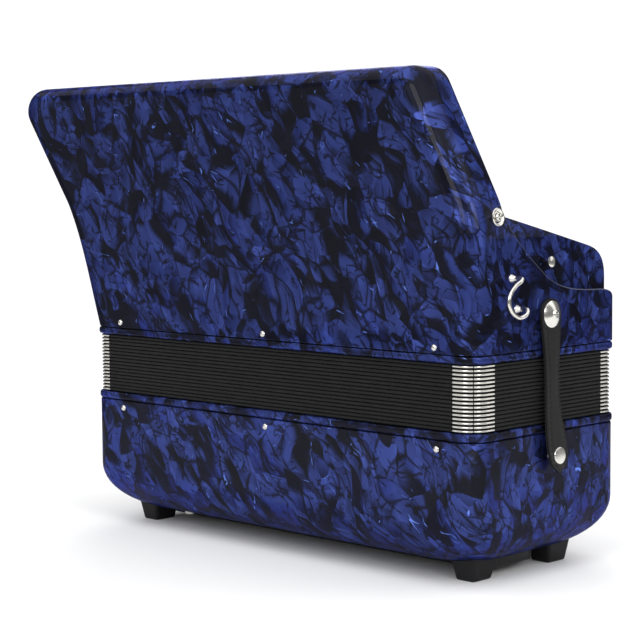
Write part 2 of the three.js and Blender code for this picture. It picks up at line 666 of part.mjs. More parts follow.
const treble = new THREE.Group();
addPart(treble, 'treble_casing', trebleCasing(), PEARL);
addPart(treble, 'treble_frame', bellowsFrame(TREBLE_FRAME), PEARL);
addPart(treble, 'button_board', buttonBoard(), BOARD_BLACK);
for (let row = 0; row < TREBLE_ROWS; row += 1) {
  addPart(treble, `treble_button_row_${row + 1}`, trebleButtonRow(row), BUTTON_WHITE);
}
addPart(treble, 'grille_cover', grilleCover(), PEARL);
for (let index = 0; index < SWITCH_COUNT; index += 1) {
  addPart(treble, `register_switch_${index + 1}`, registerSwitch(index), BOARD_BLACK);
}
addPart(treble, 'treble_soundboard', soundboard(SOUNDBOARD.treble), SPRUCE);
addPart(treble, 'treble_reed_block', reedBlock(-42, 150, 192.6), SPRUCE);
accordion.add(treble);

for (const end of ENDS) {
  const fittings = new THREE.Group();
  addPart(fittings, `closing_strap_${end.name}`, strapPiece(end, 'head'), LEATHER);
  addPart(fittings, `closing_strap_tail_${end.name}`, strapPiece(end, 'tail'), LEATHER);
  addPart(fittings, `strap_screw_${end.name}`, strapScrew(end), CHROME);
  addPart(fittings, `snap_stud_${end.name}`, snapStud(end), CHROME);
  addPart(fittings, `strap_loop_${end.name}`, strapLoop(end), CHROME);
  accordion.add(fittings);
}

// The origin is on the floor, under the middle of the whole instrument.
const extent = new THREE.Box3().setFromObject(accordion);
const middle = extent.getCenter(new THREE.Vector3());
accordion.position.set(-middle.x, -middle.y, -extent.min.z);
accordion.updateMatrixWorld(true);

export default accordion;
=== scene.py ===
"""A full-size chromatic button accordion in blue pearl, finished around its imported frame.

The frame holds the shapes that fit and move. This file makes the surfaces that show: pearl
casings, pleated bellows with metal corners, leather straps, fittings, buttons and registers.
Sizes are millimetres from the middle of the bass casing, and place() turns them to metres.
"""

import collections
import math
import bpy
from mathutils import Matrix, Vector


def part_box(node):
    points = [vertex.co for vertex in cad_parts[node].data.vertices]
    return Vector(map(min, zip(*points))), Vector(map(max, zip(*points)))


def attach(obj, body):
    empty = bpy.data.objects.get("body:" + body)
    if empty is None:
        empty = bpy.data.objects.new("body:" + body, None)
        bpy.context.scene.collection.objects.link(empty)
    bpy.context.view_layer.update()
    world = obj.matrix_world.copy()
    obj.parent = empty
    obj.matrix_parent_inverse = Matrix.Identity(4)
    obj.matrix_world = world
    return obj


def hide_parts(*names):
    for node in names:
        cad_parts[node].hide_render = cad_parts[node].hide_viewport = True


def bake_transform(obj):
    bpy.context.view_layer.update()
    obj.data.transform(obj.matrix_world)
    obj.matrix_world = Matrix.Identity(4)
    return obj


bl_info = {
    "name": "Button Accordion",
    "version": (1, 0, 0),
    "blender": (4, 5, 0),
    "location": "View3D > Sidebar > Accordion",
    "description": "Builds the finished surfaces of a button accordion around its frame",
    "category": "Object",
}

import bmesh
import bpy
from mathutils import Matrix, Vector

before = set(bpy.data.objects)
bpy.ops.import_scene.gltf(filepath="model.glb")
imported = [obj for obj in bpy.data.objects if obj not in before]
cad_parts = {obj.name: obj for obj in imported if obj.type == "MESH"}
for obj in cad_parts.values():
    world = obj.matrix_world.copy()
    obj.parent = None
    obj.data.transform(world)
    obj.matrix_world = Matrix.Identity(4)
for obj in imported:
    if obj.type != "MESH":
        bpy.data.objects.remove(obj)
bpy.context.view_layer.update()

MM = 0.001
BASS_LOW, BASS_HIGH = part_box("bass_casing")
MIDDLE_X = (BASS_LOW.x + BASS_HIGH.x) / 2

# ---- sizes that the frame settles --------------------------------------------------------
HALF_WIDTH = (BASS_HIGH.x - BASS_LOW.x) / 2 / MM
HALF_DEPTH = (BASS_HIGH.y - BASS_LOW.y) / 2 / MM
BASS_BOTTOM = BASS_LOW.z / MM
BASS_TOP = BASS_HIGH.z / MM
TREBLE_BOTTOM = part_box("treble_casing")[0].z / MM
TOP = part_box("treble_casing")[1].z / MM
CORNER = 20
WALL = 6
EDGE_RADIUS = 42
FOLD_COUNT = 17
FOLDS = [f"bellows_fold_{index + 1:02d}" for index in range(FOLD_COUNT)]


def srgb(code):
    """An sRGB hex colour as the linear values that a shader reads."""
    parts = [int(code[start : start + 2], 16) / 255 for start in (1, 3, 5)]
    linear = [c / 12.92 if c <= 0.04045 else ((c + 0.055) / 1.055) ** 2.4 for c in parts]
    return (*linear, 1.0)


# ---- settings ----------------------------------------------------------------------------
class AccordionFinish(bpy.types.PropertyGroup):
    """Colours of the finished surfaces."""

    blue: bpy.props.FloatVectorProperty(
        name="Pearl blue",
        description="Main colour of the celluloid",
        subtype="COLOR",
        default=srgb("#3d4c94")[:3],
    )
    # Painted shade: the blue on the side of each flake turned away from the light.
    painted_shade_blue: bpy.props.FloatVectorProperty(
        name="Shaded blue",
        description="Colour of the flakes that are turned away",
        subtype="COLOR",
        default=srgb("#293263")[:3],
    )
    # The dark patches and cracks, and also painted shade on the turned-away side of the large flakes.
    charcoal: bpy.props.FloatVectorProperty(
        name="Dark patches",
        description="Colour of the dark patches between the flakes",
        subtype="COLOR",
        default=srgb("#17181f")[:3],
    )
    # Painted highlight: the blue of the thin slivers that catch the light.
    painted_glint: bpy.props.FloatVectorProperty(
        name="Bright creases",
        description="Colour of the thin folds that catch the light",
        subtype="COLOR",
        default=srgb("#6f8ff0")[:3],
    )
    flake: bpy.props.FloatProperty(
        name="Flake size",
        description="Width of one flake of the pearl pattern",
        unit="LENGTH",
        default=0.017,
    )


class AccordionSizes(bpy.types.PropertyGroup):
    """Sizes of the trim."""

    edge: bpy.props.FloatProperty(
        name="Worn edge",
        description="Width of the lighter line along cut edges of the celluloid",
        unit="LENGTH",
        default=0.001,
    )
    ridge: bpy.props.FloatProperty(
        name="Fold ridge",
        description="Height of the taped ridge of one bellows fold",
        unit="LENGTH",
        default=0.0022,
    )
    valley: bpy.props.FloatProperty(
        name="Fold depth",
        description="Depth of the bellows folds behind their ridges",
        unit="LENGTH",
        default=0.015,
    )
    stitch: bpy.props.FloatProperty(
        name="Stitch length",
        description="Length of one stitch in the leather straps",
        unit="LENGTH",
        default=0.0032,
    )


# ---- meshes ------------------------------------------------------------------------------
def place(x, y, z):
    """A point in millimetres from the middle of the body, as metres in the frame."""
    return Vector((MIDDLE_X + x * MM, y * MM, z * MM))


def make_object(name, points, faces, material=None, closed=True):
    """An object from points in millimetres, merged, with its faces pointing outwards."""
    mesh = bpy.data.meshes.new(name)
    mesh.from_pydata([place(*point) for point in points], [], faces)
    work = bmesh.new()
    work.from_mesh(mesh)
    bmesh.ops.remove_doubles(work, verts=work.verts, dist=2e-6)
    if closed:
        bmesh.ops.recalc_face_normals(work, faces=work.faces)
    work.to_mesh(mesh)
    work.free()
    thing = bpy.data.objects.new(name, mesh)
    bpy.context.scene.collection.objects.link(thing)
    if material:
        mesh.materials.append(material)
    return thing


def add_modifier(thing, kind, **settings):
    """Adds a modifier with its settings."""
    made = thing.modifiers.new(kind.title(), kind)
    for key, value in settings.items():
        setattr(made, key, value)
    return made


def apply_stack(thing):
    """Turns an object's modifiers into its mesh."""
    depsgraph = bpy.context.evaluated_depsgraph_get()
    finished = bpy.data.meshes.new_from_object(thing.evaluated_get(depsgraph), depsgraph=depsgraph)
    thing.modifiers.clear()
    thing.data = finished
    finished.name = thing.name
    return thing


def carve(thing, *steps):
    """Joins, cuts or crosses an object with helpers, which are then removed."""
    for operation, helper in steps:
        add_modifier(thing, "BOOLEAN", operation=operation, object=helper, solver="EXACT")
    apply_stack(thing)
    for _, helper in steps:
        bpy.data.objects.remove(helper)
    return thing


def shade(thing, degrees=35):
    """Smooths everything but edges sharper than an angle, led by the largest faces."""
    thing.data.shade_smooth()
    thing.data.set_sharp_from_angle(angle=math.radians(degrees))
    add_modifier(thing, "WEIGHTED_NORMAL", keep_sharp=True, weight=80)
    return apply_stack(thing)


def soften(thing, width_mm, segments=2, degrees=35, material=-1):
    """Rounds sharp edges by a width in millimetres, then smooths the whole."""
    add_modifier(
        thing, "BEVEL", width=width_mm * MM, segments=segments, limit_method="ANGLE",
        angle_limit=math.radians(degrees), use_clamp_overlap=False, material=material,
    )
    apply_stack(thing)
    return shade(thing, degrees)


def ride(thing, body, slot, *replaced):
    """Puts a finished piece on its body and hides the nodes it stands for; its slot is not used."""
    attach(thing, body)
    if replaced:
        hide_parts(*replaced)
    return thing


def loft(rings, capped=True):
    """Points and faces of a body through rings of equal length."""
    count = len(rings[0])
    points = [point for ring in rings for point in ring]
    faces = []
    for ring in range(len(rings) - 1):
        for index in range(count):
            low = ring * count
            after = (index + 1) % count
            faces.append((low + index, low + after, low + count + after, low + count + index))
    if capped:
        last = (len(rings) - 1) * count
        faces.append(tuple(reversed(range(count))))
        faces.append(tuple(range(last, last + count)))
    return points, faces


def box_mesh(low, high):
    """Points and faces of a box between two corners."""
    ring = [(low[0], low[1]), (high[0], low[1]), (high[0], high[1]), (low[0], high[1])]
    return loft([[(x, y, z) for x, y in ring] for z in (low[2], high[2])])


def merged(parts):
    """Points and faces of several meshes as one."""
    points, faces = [], []
    for part_points, part_faces in parts:
        start = len(points)
        points += part_points
        faces += [tuple(start + index for index in face) for face in part_faces]
    return points, faces


# ---- outlines ----------------------------------------------------------------------------
def bezier(start, first, second, end, steps):
    """Points along a curve, without its start."""
    made = []
    for index in range(1, steps + 1):
        t = index / steps
        weights = ((1 - t) ** 3, 3 * t * (1 - t) ** 2, 3 * t**2 * (1 - t), t**3)
        pairs = zip(start, first, second, end)
        made.append(tuple(sum(w * c for w, c in zip(weights, pair)) for pair in pairs))
    return made


def arc(center, radius, start, stop, steps):
    """Points along an arc between two angles in degrees."""
    angles = [math.radians(start + (stop - start) * i / steps) for i in range(steps + 1)]
    return [(center[0] + radius * math.cos(a), center[1] + radius * math.sin(a)) for a in angles]


def rounded_rectangle(half_x, half_y, radius, steps=10):
    """A rectangle's outline with round corners, anticlockwise."""
    corners = [(1, 1, 0), (-1, 1, 90), (-1, -1, 180), (1, -1, 270)]
    made = []
    for side_x, side_y, start in corners:
        center = (side_x * (half_x - radius), side_y * (half_y - radius))
        made += arc(center, radius, start, start + 90, steps)
    return made


def turn_corner(arriving_from, corner, leaving_to, radius, steps=12):
    """Points of the arc that rounds a corner between two straight lines."""
    end = Vector(corner)
    back = (Vector(arriving_from) - end).normalized()
    ahead = (Vector(leaving_to) - end).normalized()
    half = math.acos(back.dot(ahead)) / 2
    tangent = radius / math.tan(half)
    handle = (4 / 3) * math.tan((math.pi / 2 - half) / 2) * radius
    start, stop = end + back * tangent, end + ahead * tangent
    first, second = end + back * (tangent - handle), end + ahead * (tangent - handle)
    return [tuple(start)] + bezier(tuple(start), tuple(first), tuple(second), tuple(stop), steps)


def inset_outline(outline, distance):
    """An anticlockwise outline moved inwards."""
    made = []
    count = len(outline)
    for index in range(count):
        here = Vector(outline[index])
        before = (here - Vector(outline[index - 1])).normalized()
        after = (Vector(outline[(index + 1) % count]) - here).normalized()
        normal = Vector((-before.y - after.y, before.x + after.x)).normalized()
        reach = distance / max(0.3, normal.dot(Vector((-before.y, before.x))))
        made.append(tuple(here + normal * reach))
    return made


def treble_outline():
    """The treble side from the player's side, in (x, z), anticlockwise."""
    low = TREBLE_BOTTOM - 60
    far_corner, near_corner, near_foot = (365.4, TOP), (-173, TOP), (-228.5, 313)
    board_foot = (281.8, 302)
    made = [(-HALF_WIDTH, low), (HALF_WIDTH - 3, low), (HALF_WIDTH - 1, TREBLE_BOTTOM)]
    made += bezier(made[-1], (250, 226), (260, 266), board_foot, 16)
    made += turn_corner(board_foot, far_corner, near_corner, 22)
    made += turn_corner(far_corner, near_corner, near_foot, 24)
    made.append(near_foot)
    made += bezier(near_foot, (-234.5, 301.7), (-HALF_WIDTH, 291), (-HALF_WIDTH, 265), 10)
    return made


def rounded_slab(outline, low, high, inset, radius, steps):
    """An outline in (x, z) extruded along Y, with its long edges rounded."""
    rings = []
    for index in range(steps + 1):
        angle = index / steps * math.pi / 2
        draw = inset + radius * (1 - math.sin(angle))
        flat = inset_outline(outline, draw)
        rings.append([(x, low + radius * (1 - math.cos(angle)), z) for x, z in flat])
    far = [[(x, high + low - y, z) for x, y, z in ring] for ring in reversed(rings)]
    return loft(rings + far)


def prism_along_x(profile, low, high):
    """A profile in (y, z) extruded along X."""
    return loft([[(x, y, z) for y, z in profile] for x in (low, high)])


# ---- materials ---------------------------------------------------------------------------
def add_node(tree, kind, inputs=None, **settings):
    """Adds a node with its settings, and sets or links its inputs."""
    made = tree.nodes.new(kind)
    for key, value in settings.items():
        setattr(made, key, value)
    for key, value in (inputs or {}).items():
        if isinstance(value, bpy.types.NodeSocket):
            tree.links.new(value, made.inputs[key])
        else:
            made.inputs[key].default_value = value
    return made


Surface = collections.namedtuple("Surface", "material tree shader spot")


def start_material(name, **sockets):
    """A material with one Principled shader, whose uniform values are set on it."""
    material = bpy.data.materials.new(name)
    material.use_nodes = True
    tree = material.node_tree
    tree.nodes.clear()
    shader = add_node(tree, "ShaderNodeBsdfPrincipled")
    for key, value in sockets.items():
        shader.inputs[key.replace("_", " ").title().replace("Ior", "IOR")].default_value = value
    add_node(tree, "ShaderNodeOutputMaterial", {"Surface": shader.outputs["BSDF"]})
    spot = add_node(tree, "ShaderNodeTexCoord").outputs["Object"]
    return Surface(material, tree, shader, spot)


def per_mm(size):
    """The texture scale that repeats once in a size in millimetres."""
    return 1 / (size * MM)


def colour(value):
    """A colour setting with the alpha that a shader socket needs."""
    return (value[0], value[1], value[2], 1.0)


def dress(surface, share, low, high, rough=None, height=None, depth_mm=0, strength=1.0):
    """Finishes a surface from its patterns: its colour runs between two tones, its roughness
    over a range, and its relief follows a height pattern of a depth in millimetres."""
    tree, sockets = surface.tree, surface.shader.inputs
    tones = add_node(
        tree, "ShaderNodeMix", {0: share, 6: srgb(low), 7: srgb(high)}, data_type="RGBA"
    )
    tree.links.new(tones.outputs[2], sockets["Base Color"])
    if rough is not None:
        haze = {"Value": share, "To Min": rough[0], "To Max": rough[1]}
        tree.links.new(add_node(tree, "ShaderNodeMapRange", haze).outputs[0], sockets["Roughness"])
    if height is not None:
        relief = {"Height": height, "Distance": depth_mm * MM, "Strength": strength}
        bump = add_node(tree, "ShaderNodeBump", relief)
        tree.links.new(bump.outputs["Normal"], sockets["Normal"])
    return surface.material


def shards(tree, vector, size, spread):
    """One layer of flakes: a 0 to 1 painted shade that runs across each flake its own way, and the height
    of that flake's tilt."""
    cells = add_node(tree, "ShaderNodeTexVoronoi", {"Vector": vector, "Scale": per_mm(size)})
    across = add_node(
        tree, "ShaderNodeVectorMath",
        {0: vector, 1: cells.outputs["Position"]}, operation="SUBTRACT",
    )
    tilt = add_node(
        tree, "ShaderNodeVectorMath",
        {0: cells.outputs["Color"], 1: (0.5, 0.5, 0.5)}, operation="SUBTRACT",
    )
    slope = add_node(
        tree, "ShaderNodeVectorMath",
        {0: across.outputs[0], 1: tilt.outputs[0]}, operation="DOT_PRODUCT",
    ).outputs["Value"]
    reach = spread * size * MM
    shade_across = add_node(
        tree, "ShaderNodeMapRange", {"Value": slope, "From Min": -reach, "From Max": reach}
    )
    return shade_across.outputs[0], slope


def veins(tree, vector, size, patch, rare, width):
    """Lines between flakes that swell and taper out: 1 on a line, 0 off it. They are found
    only where a cloud of the patch size, in millimetres, rises above rare."""
    edges = add_node(
        tree, "ShaderNodeTexVoronoi",
        {"Vector": vector, "Scale": per_mm(size)}, feature="DISTANCE_TO_EDGE",
    )
    cloud = add_node(
        tree, "ShaderNodeTexNoise", {"Vector": vector, "Scale": per_mm(patch), "Detail": 1.0}
    )
    swell = add_node(
        tree, "ShaderNodeMapRange",
        {"Value": cloud.outputs["Fac"], "From Min": rare, "From Max": rare + 0.2,
         "To Min": 0.0001, "To Max": width / size},
    )
    return add_node(
        tree, "ShaderNodeMapRange",
        {"Value": edges.outputs["Distance"], "From Min": 0.0, "From Max": swell.outputs[0],
         "To Min": 1.0, "To Max": 0.0},
    ).outputs[0]


def pearl_celluloid(finish):
    """Pearl celluloid: cast sheet with crumpled metallic flakes under a polished clear face.
    To the eye it is angular blue flakes split by tapered black cracks, all leaning one way under a thin
    gloss; each flake fades to charcoal on one side, painted shade of its tilt, and a few bright slivers are
    painted highlights."""
    material, tree, shader, spot = start_material(
        "pearl_celluloid", metallic=0.8, roughness=0.4, ior=1.5, specular_ior_level=0.25,
        specular_tint=srgb("#5468c8"), coat_weight=0.14, coat_roughness=0.05, coat_ior=1.5,
    )
    flake = finish.flake / MM
    turned = add_node(
        tree, "ShaderNodeMapping",
        {"Vector": spot, "Rotation": (math.radians(15), math.radians(-40), 0)},
    ).outputs[0]
    wander = add_node(
        tree, "ShaderNodeTexNoise", {"Vector": turned, "Scale": per_mm(55), "Detail": 0.5}
    )
    offset = add_node(
        tree, "ShaderNodeVectorMath",
        {0: wander.outputs["Color"], 1: (0.5, 0.5, 0.5)}, operation="SUBTRACT",
    )
    bent = add_node(
        tree, "ShaderNodeVectorMath",
        {0: offset.outputs[0], 1: (0.035, 0.035, 0.035), 2: turned}, operation="MULTIPLY_ADD",
    ).outputs[0]
    along = add_node(
        tree, "ShaderNodeMapping", {"Vector": bent, "Scale": (1, 1, 0.45)}
    ).outputs[0]
    crossing = add_node(
        tree, "ShaderNodeMapping",
        {"Vector": bent, "Rotation": (0, math.radians(62), 0), "Scale": (1, 1, 0.6)},
    ).outputs[0]

    # Large flakes fade to charcoal on one side, painted shade of their tilt, and gather into drifts of dark
    # patches.
    large, large_slope = shards(tree, along, flake, 0.3)
    small, small_slope = shards(tree, crossing, flake * 0.75, 0.35)
    streaks = add_node(
        tree, "ShaderNodeMapping", {"Vector": bent, "Scale": (1, 1, 0.3)}
    ).outputs[0]
    drift = add_node(
        tree, "ShaderNodeTexNoise", {"Vector": streaks, "Scale": per_mm(22), "Detail": 2.0}
    )
    level = add_node(
        tree, "ShaderNodeMath", {0: large, 1: 0.55, 2: drift.outputs["Fac"]},
        operation="MULTIPLY_ADD",
    )
    level = add_node(
        tree, "ShaderNodeMath", {0: small, 1: 0.26, 2: level.outputs[0]}, operation="MULTIPLY_ADD"
    )
    shaded = add_node(
        tree, "ShaderNodeMapRange",
        {"Value": level.outputs[0], "From Min": 0.66, "From Max": 0.94, "To Min": 1.0, "To Max": 0.0},
        interpolation_type="SMOOTHSTEP",
    )
    charcoal = colour(finish.charcoal)
    layers = [(small, colour(finish.blue)), (shaded.outputs[0], charcoal)]

    # Tapered black cracks in four sizes, every other one across the rest.
    for vector, size, patch, rare, width in (
        (along, flake, 14, 0.4, 1.7),
        (crossing, flake * 0.8, 11, 0.5, 1.5),
        (along, flake * 0.5, 8, 0.48, 1.3),
        (crossing, flake * 0.4, 6, 0.54, 1.1),
    ):
        layers.append((veins(tree, vector, size, patch, rare, width), charcoal))

    # Bright slivers, painted highlights, are few, short and thin.
    layers.append((veins(tree, along, flake * 0.7, 7, 0.65, 0.8), colour(finish.painted_glint)))
    # Each small flake runs from the painted shade blue on its turned-away side to the main blue.
    made = colour(finish.painted_shade_blue)
    for share, tone in layers:
        inputs = {0: share, 6: made, 7: tone}
        made = add_node(tree, "ShaderNodeMix", inputs, data_type="RGBA").outputs[2]
    tree.links.new(made, shader.inputs["Base Color"])

    tilts = add_node(
        tree, "ShaderNodeMath", {0: large_slope, 1: small_slope}, operation="ADD"
    )
    bump = add_node(
        tree, "ShaderNodeBump", {"Height": tilts.outputs[0], "Distance": 1.0, "Strength": 0.45}
    )
    tree.links.new(bump.outputs["Normal"], shader.inputs["Normal"])
    return material


def celluloid_edge():
    """Cut edge of celluloid: where the sheet ends its clear face is scraped pale, so a
    corner shows as a thin grey-blue line."""
    surface = start_material(
        "celluloid_edge", roughness=0.35, ior=1.5, coat_weight=0.4, coat_roughness=0.1
    )
    wear = add_node(
        surface.tree, "ShaderNodeTexNoise",
        {"Vector": surface.spot, "Scale": per_mm(60), "Detail": 4.0},
    ).outputs["Fac"]
    return dress(surface, wear, "#0c0e18", "#4b5370")


def bellows_cloth():
    """Book cloth: black woven tape glued over card. Its threads are drawn 1.3 mm apart,
    coarser than the real 0.4 mm, so that the weave shows as a fine grain."""
    surface = start_material(
        "bellows_cloth", roughness=0.75, specular_ior_level=0.2, sheen_weight=0.05, sheen_roughness=0.5
    )
    threads = add_node(
        surface.tree, "ShaderNodeTexVoronoi",
        {"Vector": surface.spot, "Scale": per_mm(1.3), "Randomness": 0.55}, distance="CHEBYCHEV",
    )
    dust = add_node(
        surface.tree, "ShaderNodeTexNoise",
        {"Vector": surface.spot, "Scale": per_mm(14), "Detail": 5.0},
    ).outputs["Fac"]
    height = threads.outputs["Distance"]
    return dress(surface, dust, "#0a0a0b", "#1c1c1d", height=height, depth_mm=0.35, strength=0.8)


def card_painted_shade():
    """Lacquered card of the folds' inner skin: dull black, darkened to near black as painted shade in the
    fold valleys, with faint random dust.
    """
    surface = start_material("card_painted_shade", roughness=0.9, specular_ior_level=0.1)
    dust = add_node(
        surface.tree, "ShaderNodeTexNoise",
        {"Vector": surface.spot, "Scale": per_mm(9), "Detail": 5.0},
    ).outputs["Fac"]
    # Both tones are near black: painted shade of the fold valleys.
    return dress(surface, dust, "#010101", "#050506")


def plated_nickel():
    """Nickel-chrome plate: polished steel under bright plate, a warm mirror with faint
    haze where hands have been."""
    material, tree, shader, spot = start_material(
        "plated_nickel", base_color=srgb("#d9d7d1"), metallic=1.0
    )
    haze = add_node(tree, "ShaderNodeTexNoise", {"Vector": spot, "Scale": per_mm(5), "Detail": 4.0})
    rough = add_node(
        tree, "ShaderNodeMapRange", {"Value": haze.outputs["Fac"], "To Min": 0.16, "To Max": 0.3}
    )
    tree.links.new(rough.outputs[0], shader.inputs["Roughness"])
    return material


def strap_leather():
    """Chrome-tanned leather: black, wiped with wax, with a fine pebble grain and slightly
    duller hollows."""
    surface = start_material("strap_leather", specular_ior_level=0.25)
    grain = add_node(
        surface.tree, "ShaderNodeTexVoronoi",
        {"Vector": surface.spot, "Scale": per_mm(1.1)}, feature="SMOOTH_F1",
    )
    wear = add_node(
        surface.tree, "ShaderNodeTexNoise",
        {"Vector": surface.spot, "Scale": per_mm(18), "Detail": 5.0},
    ).outputs["Fac"]
    height = grain.outputs["Distance"]
    return dress(surface, wear, "#0b0b0c", "#1b1b1c", (0.38, 0.62), height, 0.25, 0.6)


def waxed_thread():
    """Waxed linen thread: black, twisted, with a soft shine on its high side."""
    surface = start_material("waxed_thread", roughness=0.5)
    twist = add_node(
        surface.tree, "ShaderNodeTexNoise",
        {"Vector": surface.spot, "Scale": per_mm(0.8)},
    ).outputs["Fac"]
    return dress(surface, twist, "#010101", "#060606")


def moulded_rubber():
    """Moulded rubber: matt black with a fine sand texture from the mould."""
    surface = start_material("moulded_rubber", roughness=0.62, specular_ior_level=0.25)
    sand = add_node(
        surface.tree, "ShaderNodeTexNoise",
        {"Vector": surface.spot, "Scale": per_mm(0.9), "Detail": 3.0},
    ).outputs["Fac"]
    return dress(surface, sand, "#08080a", "#171719", height=sand, depth_mm=0.2, strength=0.5)


def felt():
    """Pressed wool felt: black, fully matt, fuzzy."""
    surface = start_material("wool_felt", roughness=0.95, sheen_weight=0.3)
    fuzz = add_node(
        surface.tree, "ShaderNodeTexNoise",
        {"Vector": surface.spot, "Scale": per_mm(1), "Detail": 5.0},
    ).outputs["Fac"]
    return dress(surface, fuzz, "#060607", "#151517", height=fuzz, depth_mm=0.3, strength=0.6)


def acrylic_sheet():
    """Acrylic sheet: gloss black, hand polished, with faint hazy wipes."""
    surface = start_material("black_acrylic", ior=1.49, coat_weight=0.3)
    wipes = add_node(
        surface.tree, "ShaderNodeTexNoise",
        {"Vector": surface.spot, "Scale": per_mm(25), "Detail": 6.0},
    ).outputs["Fac"]
    return dress(surface, wipes, "#0e0e10", "#1b1b1e", rough=(0.14, 0.32))


def button_resin(name, low, high):
    """Cast acetate resin: polished buttons with a faint pearl cloud inside."""
    surface = start_material(name, roughness=0.16, ior=1.5, coat_weight=0.5, coat_roughness=0.05)
    cloud = add_node(
        surface.tree, "ShaderNodeTexNoise",
        {"Vector": surface.spot, "Scale": per_mm(7), "Detail": 3.0},
    ).outputs["Fac"]
    return dress(surface, cloud, low, high)


def planed_spruce():
    """Planed spruce: pale resinous wood, with year rings about 2 mm apart as fine lines."""
    surface = start_material("planed_spruce", roughness=0.58)
    rings = add_node(
        surface.tree, "ShaderNodeTexWave",
        {"Vector": surface.spot, "Scale": per_mm(2) / 20, "Distortion": 2.5, "Detail": 2.0},
        bands_direction="Y",
    ).outputs["Fac"]
    return dress(surface, rings, "#b98f55", "#dcbc85", height=rings, depth_mm=0.1, strength=0.4)


def studio_floor():
    """Matt paint: a pale studio floor."""
    return start_material("studio_floor", base_color=srgb("#f6f6f6"), roughness=0.9).material


MATERIALS = {}


def make_materials(finish):
    """Fills MATERIALS with every finish by its short name."""
    MATERIALS.update(
        pearl=pearl_celluloid(finish),
        edge=celluloid_edge(),
        cloth=bellows_cloth(),
        card=card_painted_shade(),
        nickel=plated_nickel(),
        leather=strap_leather(),
        thread=waxed_thread(),
        rubber=moulded_rubber(),
        felt=felt(),
        acrylic=acrylic_sheet(),
        white=button_resin("white_acetate", "#e6e3d8", "#f6f4ee"),
        black=button_resin("black_acetate", "#0d0d0f", "#1c1c20"),
        spruce=planed_spruce(),
        floor=studio_floor(),
    )


# ---- casings -----------------------------------------------------------------------------
def bass_tub(inset, lift, steps, corner_steps, top):
    """The bass casing's body: round corners, and a large rounded edge at the bottom."""
    rings = []
    for index in range(steps + 2):
        angle = min(index / steps, 1) * math.pi / 2
        height = EDGE_RADIUS * (1 - math.cos(angle))
        draw = EDGE_RADIUS * (1 - math.sin(angle)) + inset
        radius = CORNER - inset * 0.8 + (draw - inset) * 0.55
        outline = rounded_rectangle(HALF_WIDTH - draw, HALF_DEPTH - draw, radius, corner_steps)
        z = top if index > steps else BASS_BOTTOM + lift + height
        rings.append([(x, y, z) for x, y in outline])
    return loft(rings)


WELL_LOW, WELL_HIGH = (-182, -75.5), (182, -17.5)
WELL_TOP = 31.7
AIR_SPOT = (150, 52)
WHEEL_SPOT = (9, 62)


def cylinder_along(axis, center, low, high, radius, steps=24):
    """Points and faces of a cylinder along x, y or z; center is its place across that axis."""
    ring = arc(center, radius, 0, 360 - 360 / steps, steps - 1)
    if axis == "x":
        return loft([[(x, a, b) for a, b in ring] for x in (low, high)])
    if axis == "y":
        return loft([[(a, y, b) for a, b in ring] for y in (low, high)])
    return loft([[(a, b, z) for a, b in ring] for z in (low, high)])


def make_bass_casing(edge):
    """The bass casing, hollow, with the button well in its bottom."""
    casing = make_object("bass_shell", *bass_tub(0, 0, 14, 12, BASS_TOP), MATERIALS["pearl"])
    cavity = make_object("cavity", *bass_tub(WALL, WALL, 8, 6, BASS_TOP + 10))
    rim = 5
    walls = box_mesh(
        (WELL_LOW[0] - rim, WELL_LOW[1] - rim, 0), (WELL_HIGH[0] + rim, WELL_HIGH[1] + rim, WELL_TOP)
    )
    carve(cavity, ("DIFFERENCE", make_object("well_walls", *walls)))
    outline = rounded_rectangle(WELL_HIGH[0], (WELL_HIGH[1] - WELL_LOW[1]) / 2, 3, 5)
    middle = (WELL_LOW[1] + WELL_HIGH[1]) / 2
    well = loft([[(x, y + middle, z) for x, y in outline] for z in (0, WELL_TOP + 10)])
    holes = merged([
        cylinder_along("z", AIR_SPOT, 0, 40, 5.5),
        cylinder_along("x", WHEEL_SPOT, 200, 260, 3.6),
    ])
    carve(
        casing, ("DIFFERENCE", cavity), ("DIFFERENCE", make_object("well", *well)),
        ("DIFFERENCE", make_object("holes", *holes)),
    )
    soften(casing, edge, 2, 40)
    return ride(casing, "bass_side", "pearl_celluloid", "bass_casing")


BOARD_FRONT = 58
WORN_ABOVE = 205


def end_profile():
    """The treble side from its end, in (y, z): the S-curve from fingerboard to front wall."""
    back, front = HALF_DEPTH + 10, -HALF_DEPTH - 10
    made = [(back, TREBLE_BOTTOM), (back, TOP + 10), (BOARD_FRONT, TOP + 10), (BOARD_FRONT, 300)]
    made += bezier(made[-1], (52, 284), (38, 271), (14, 253.5), 14)
    made += bezier(made[-1], (-3, 240), (-20, 235.3), (-52, 234), 14)
    made.append((-68, 233.6))
    made += bezier(made[-1], (-84, 233.3), (-HALF_DEPTH, 226), (-HALF_DEPTH, 212), 10)
    made += [(front, 212), (front, TREBLE_BOTTOM)]
    return made


def make_treble_casing(edge):
    """The treble casing: player's panel, end walls with their S-curve, and low front wall."""
    outline = treble_outline()
    slab = rounded_slab(outline, -HALF_DEPTH, HALF_DEPTH, 0, 18, 10)
    casing = make_object("treble_shell", *slab, MATERIALS["pearl"])
    hollow = rounded_slab(outline, WALL - HALF_DEPTH, HALF_DEPTH - WALL, WALL, 10, 4)
    carve(
        casing, ("INTERSECT", make_object("ends", *prism_along_x(end_profile(), -270, 400))),
        ("DIFFERENCE", make_object("hollow", *hollow)),
    )
    casing.data.materials.append(MATERIALS["edge"])
    soften(casing, edge, 2, 40, material=1)
    for face in casing.data.polygons:
        if face.center.z < WORN_ABOVE * MM:
            face.material_index = 0
    return ride(casing, "treble_side", "pearl_celluloid", "treble_casing")


class ACCORDION_OT_casings(bpy.types.Operator):
    """Make the two pearl casings"""

    bl_idname = "accordion.casings"
    bl_label = "Casings"

    def execute(self, context):
        edge = context.scene.accordion_sizes.edge / MM
        make_bass_casing(edge)
        make_treble_casing(edge)
        return {"FINISHED"}


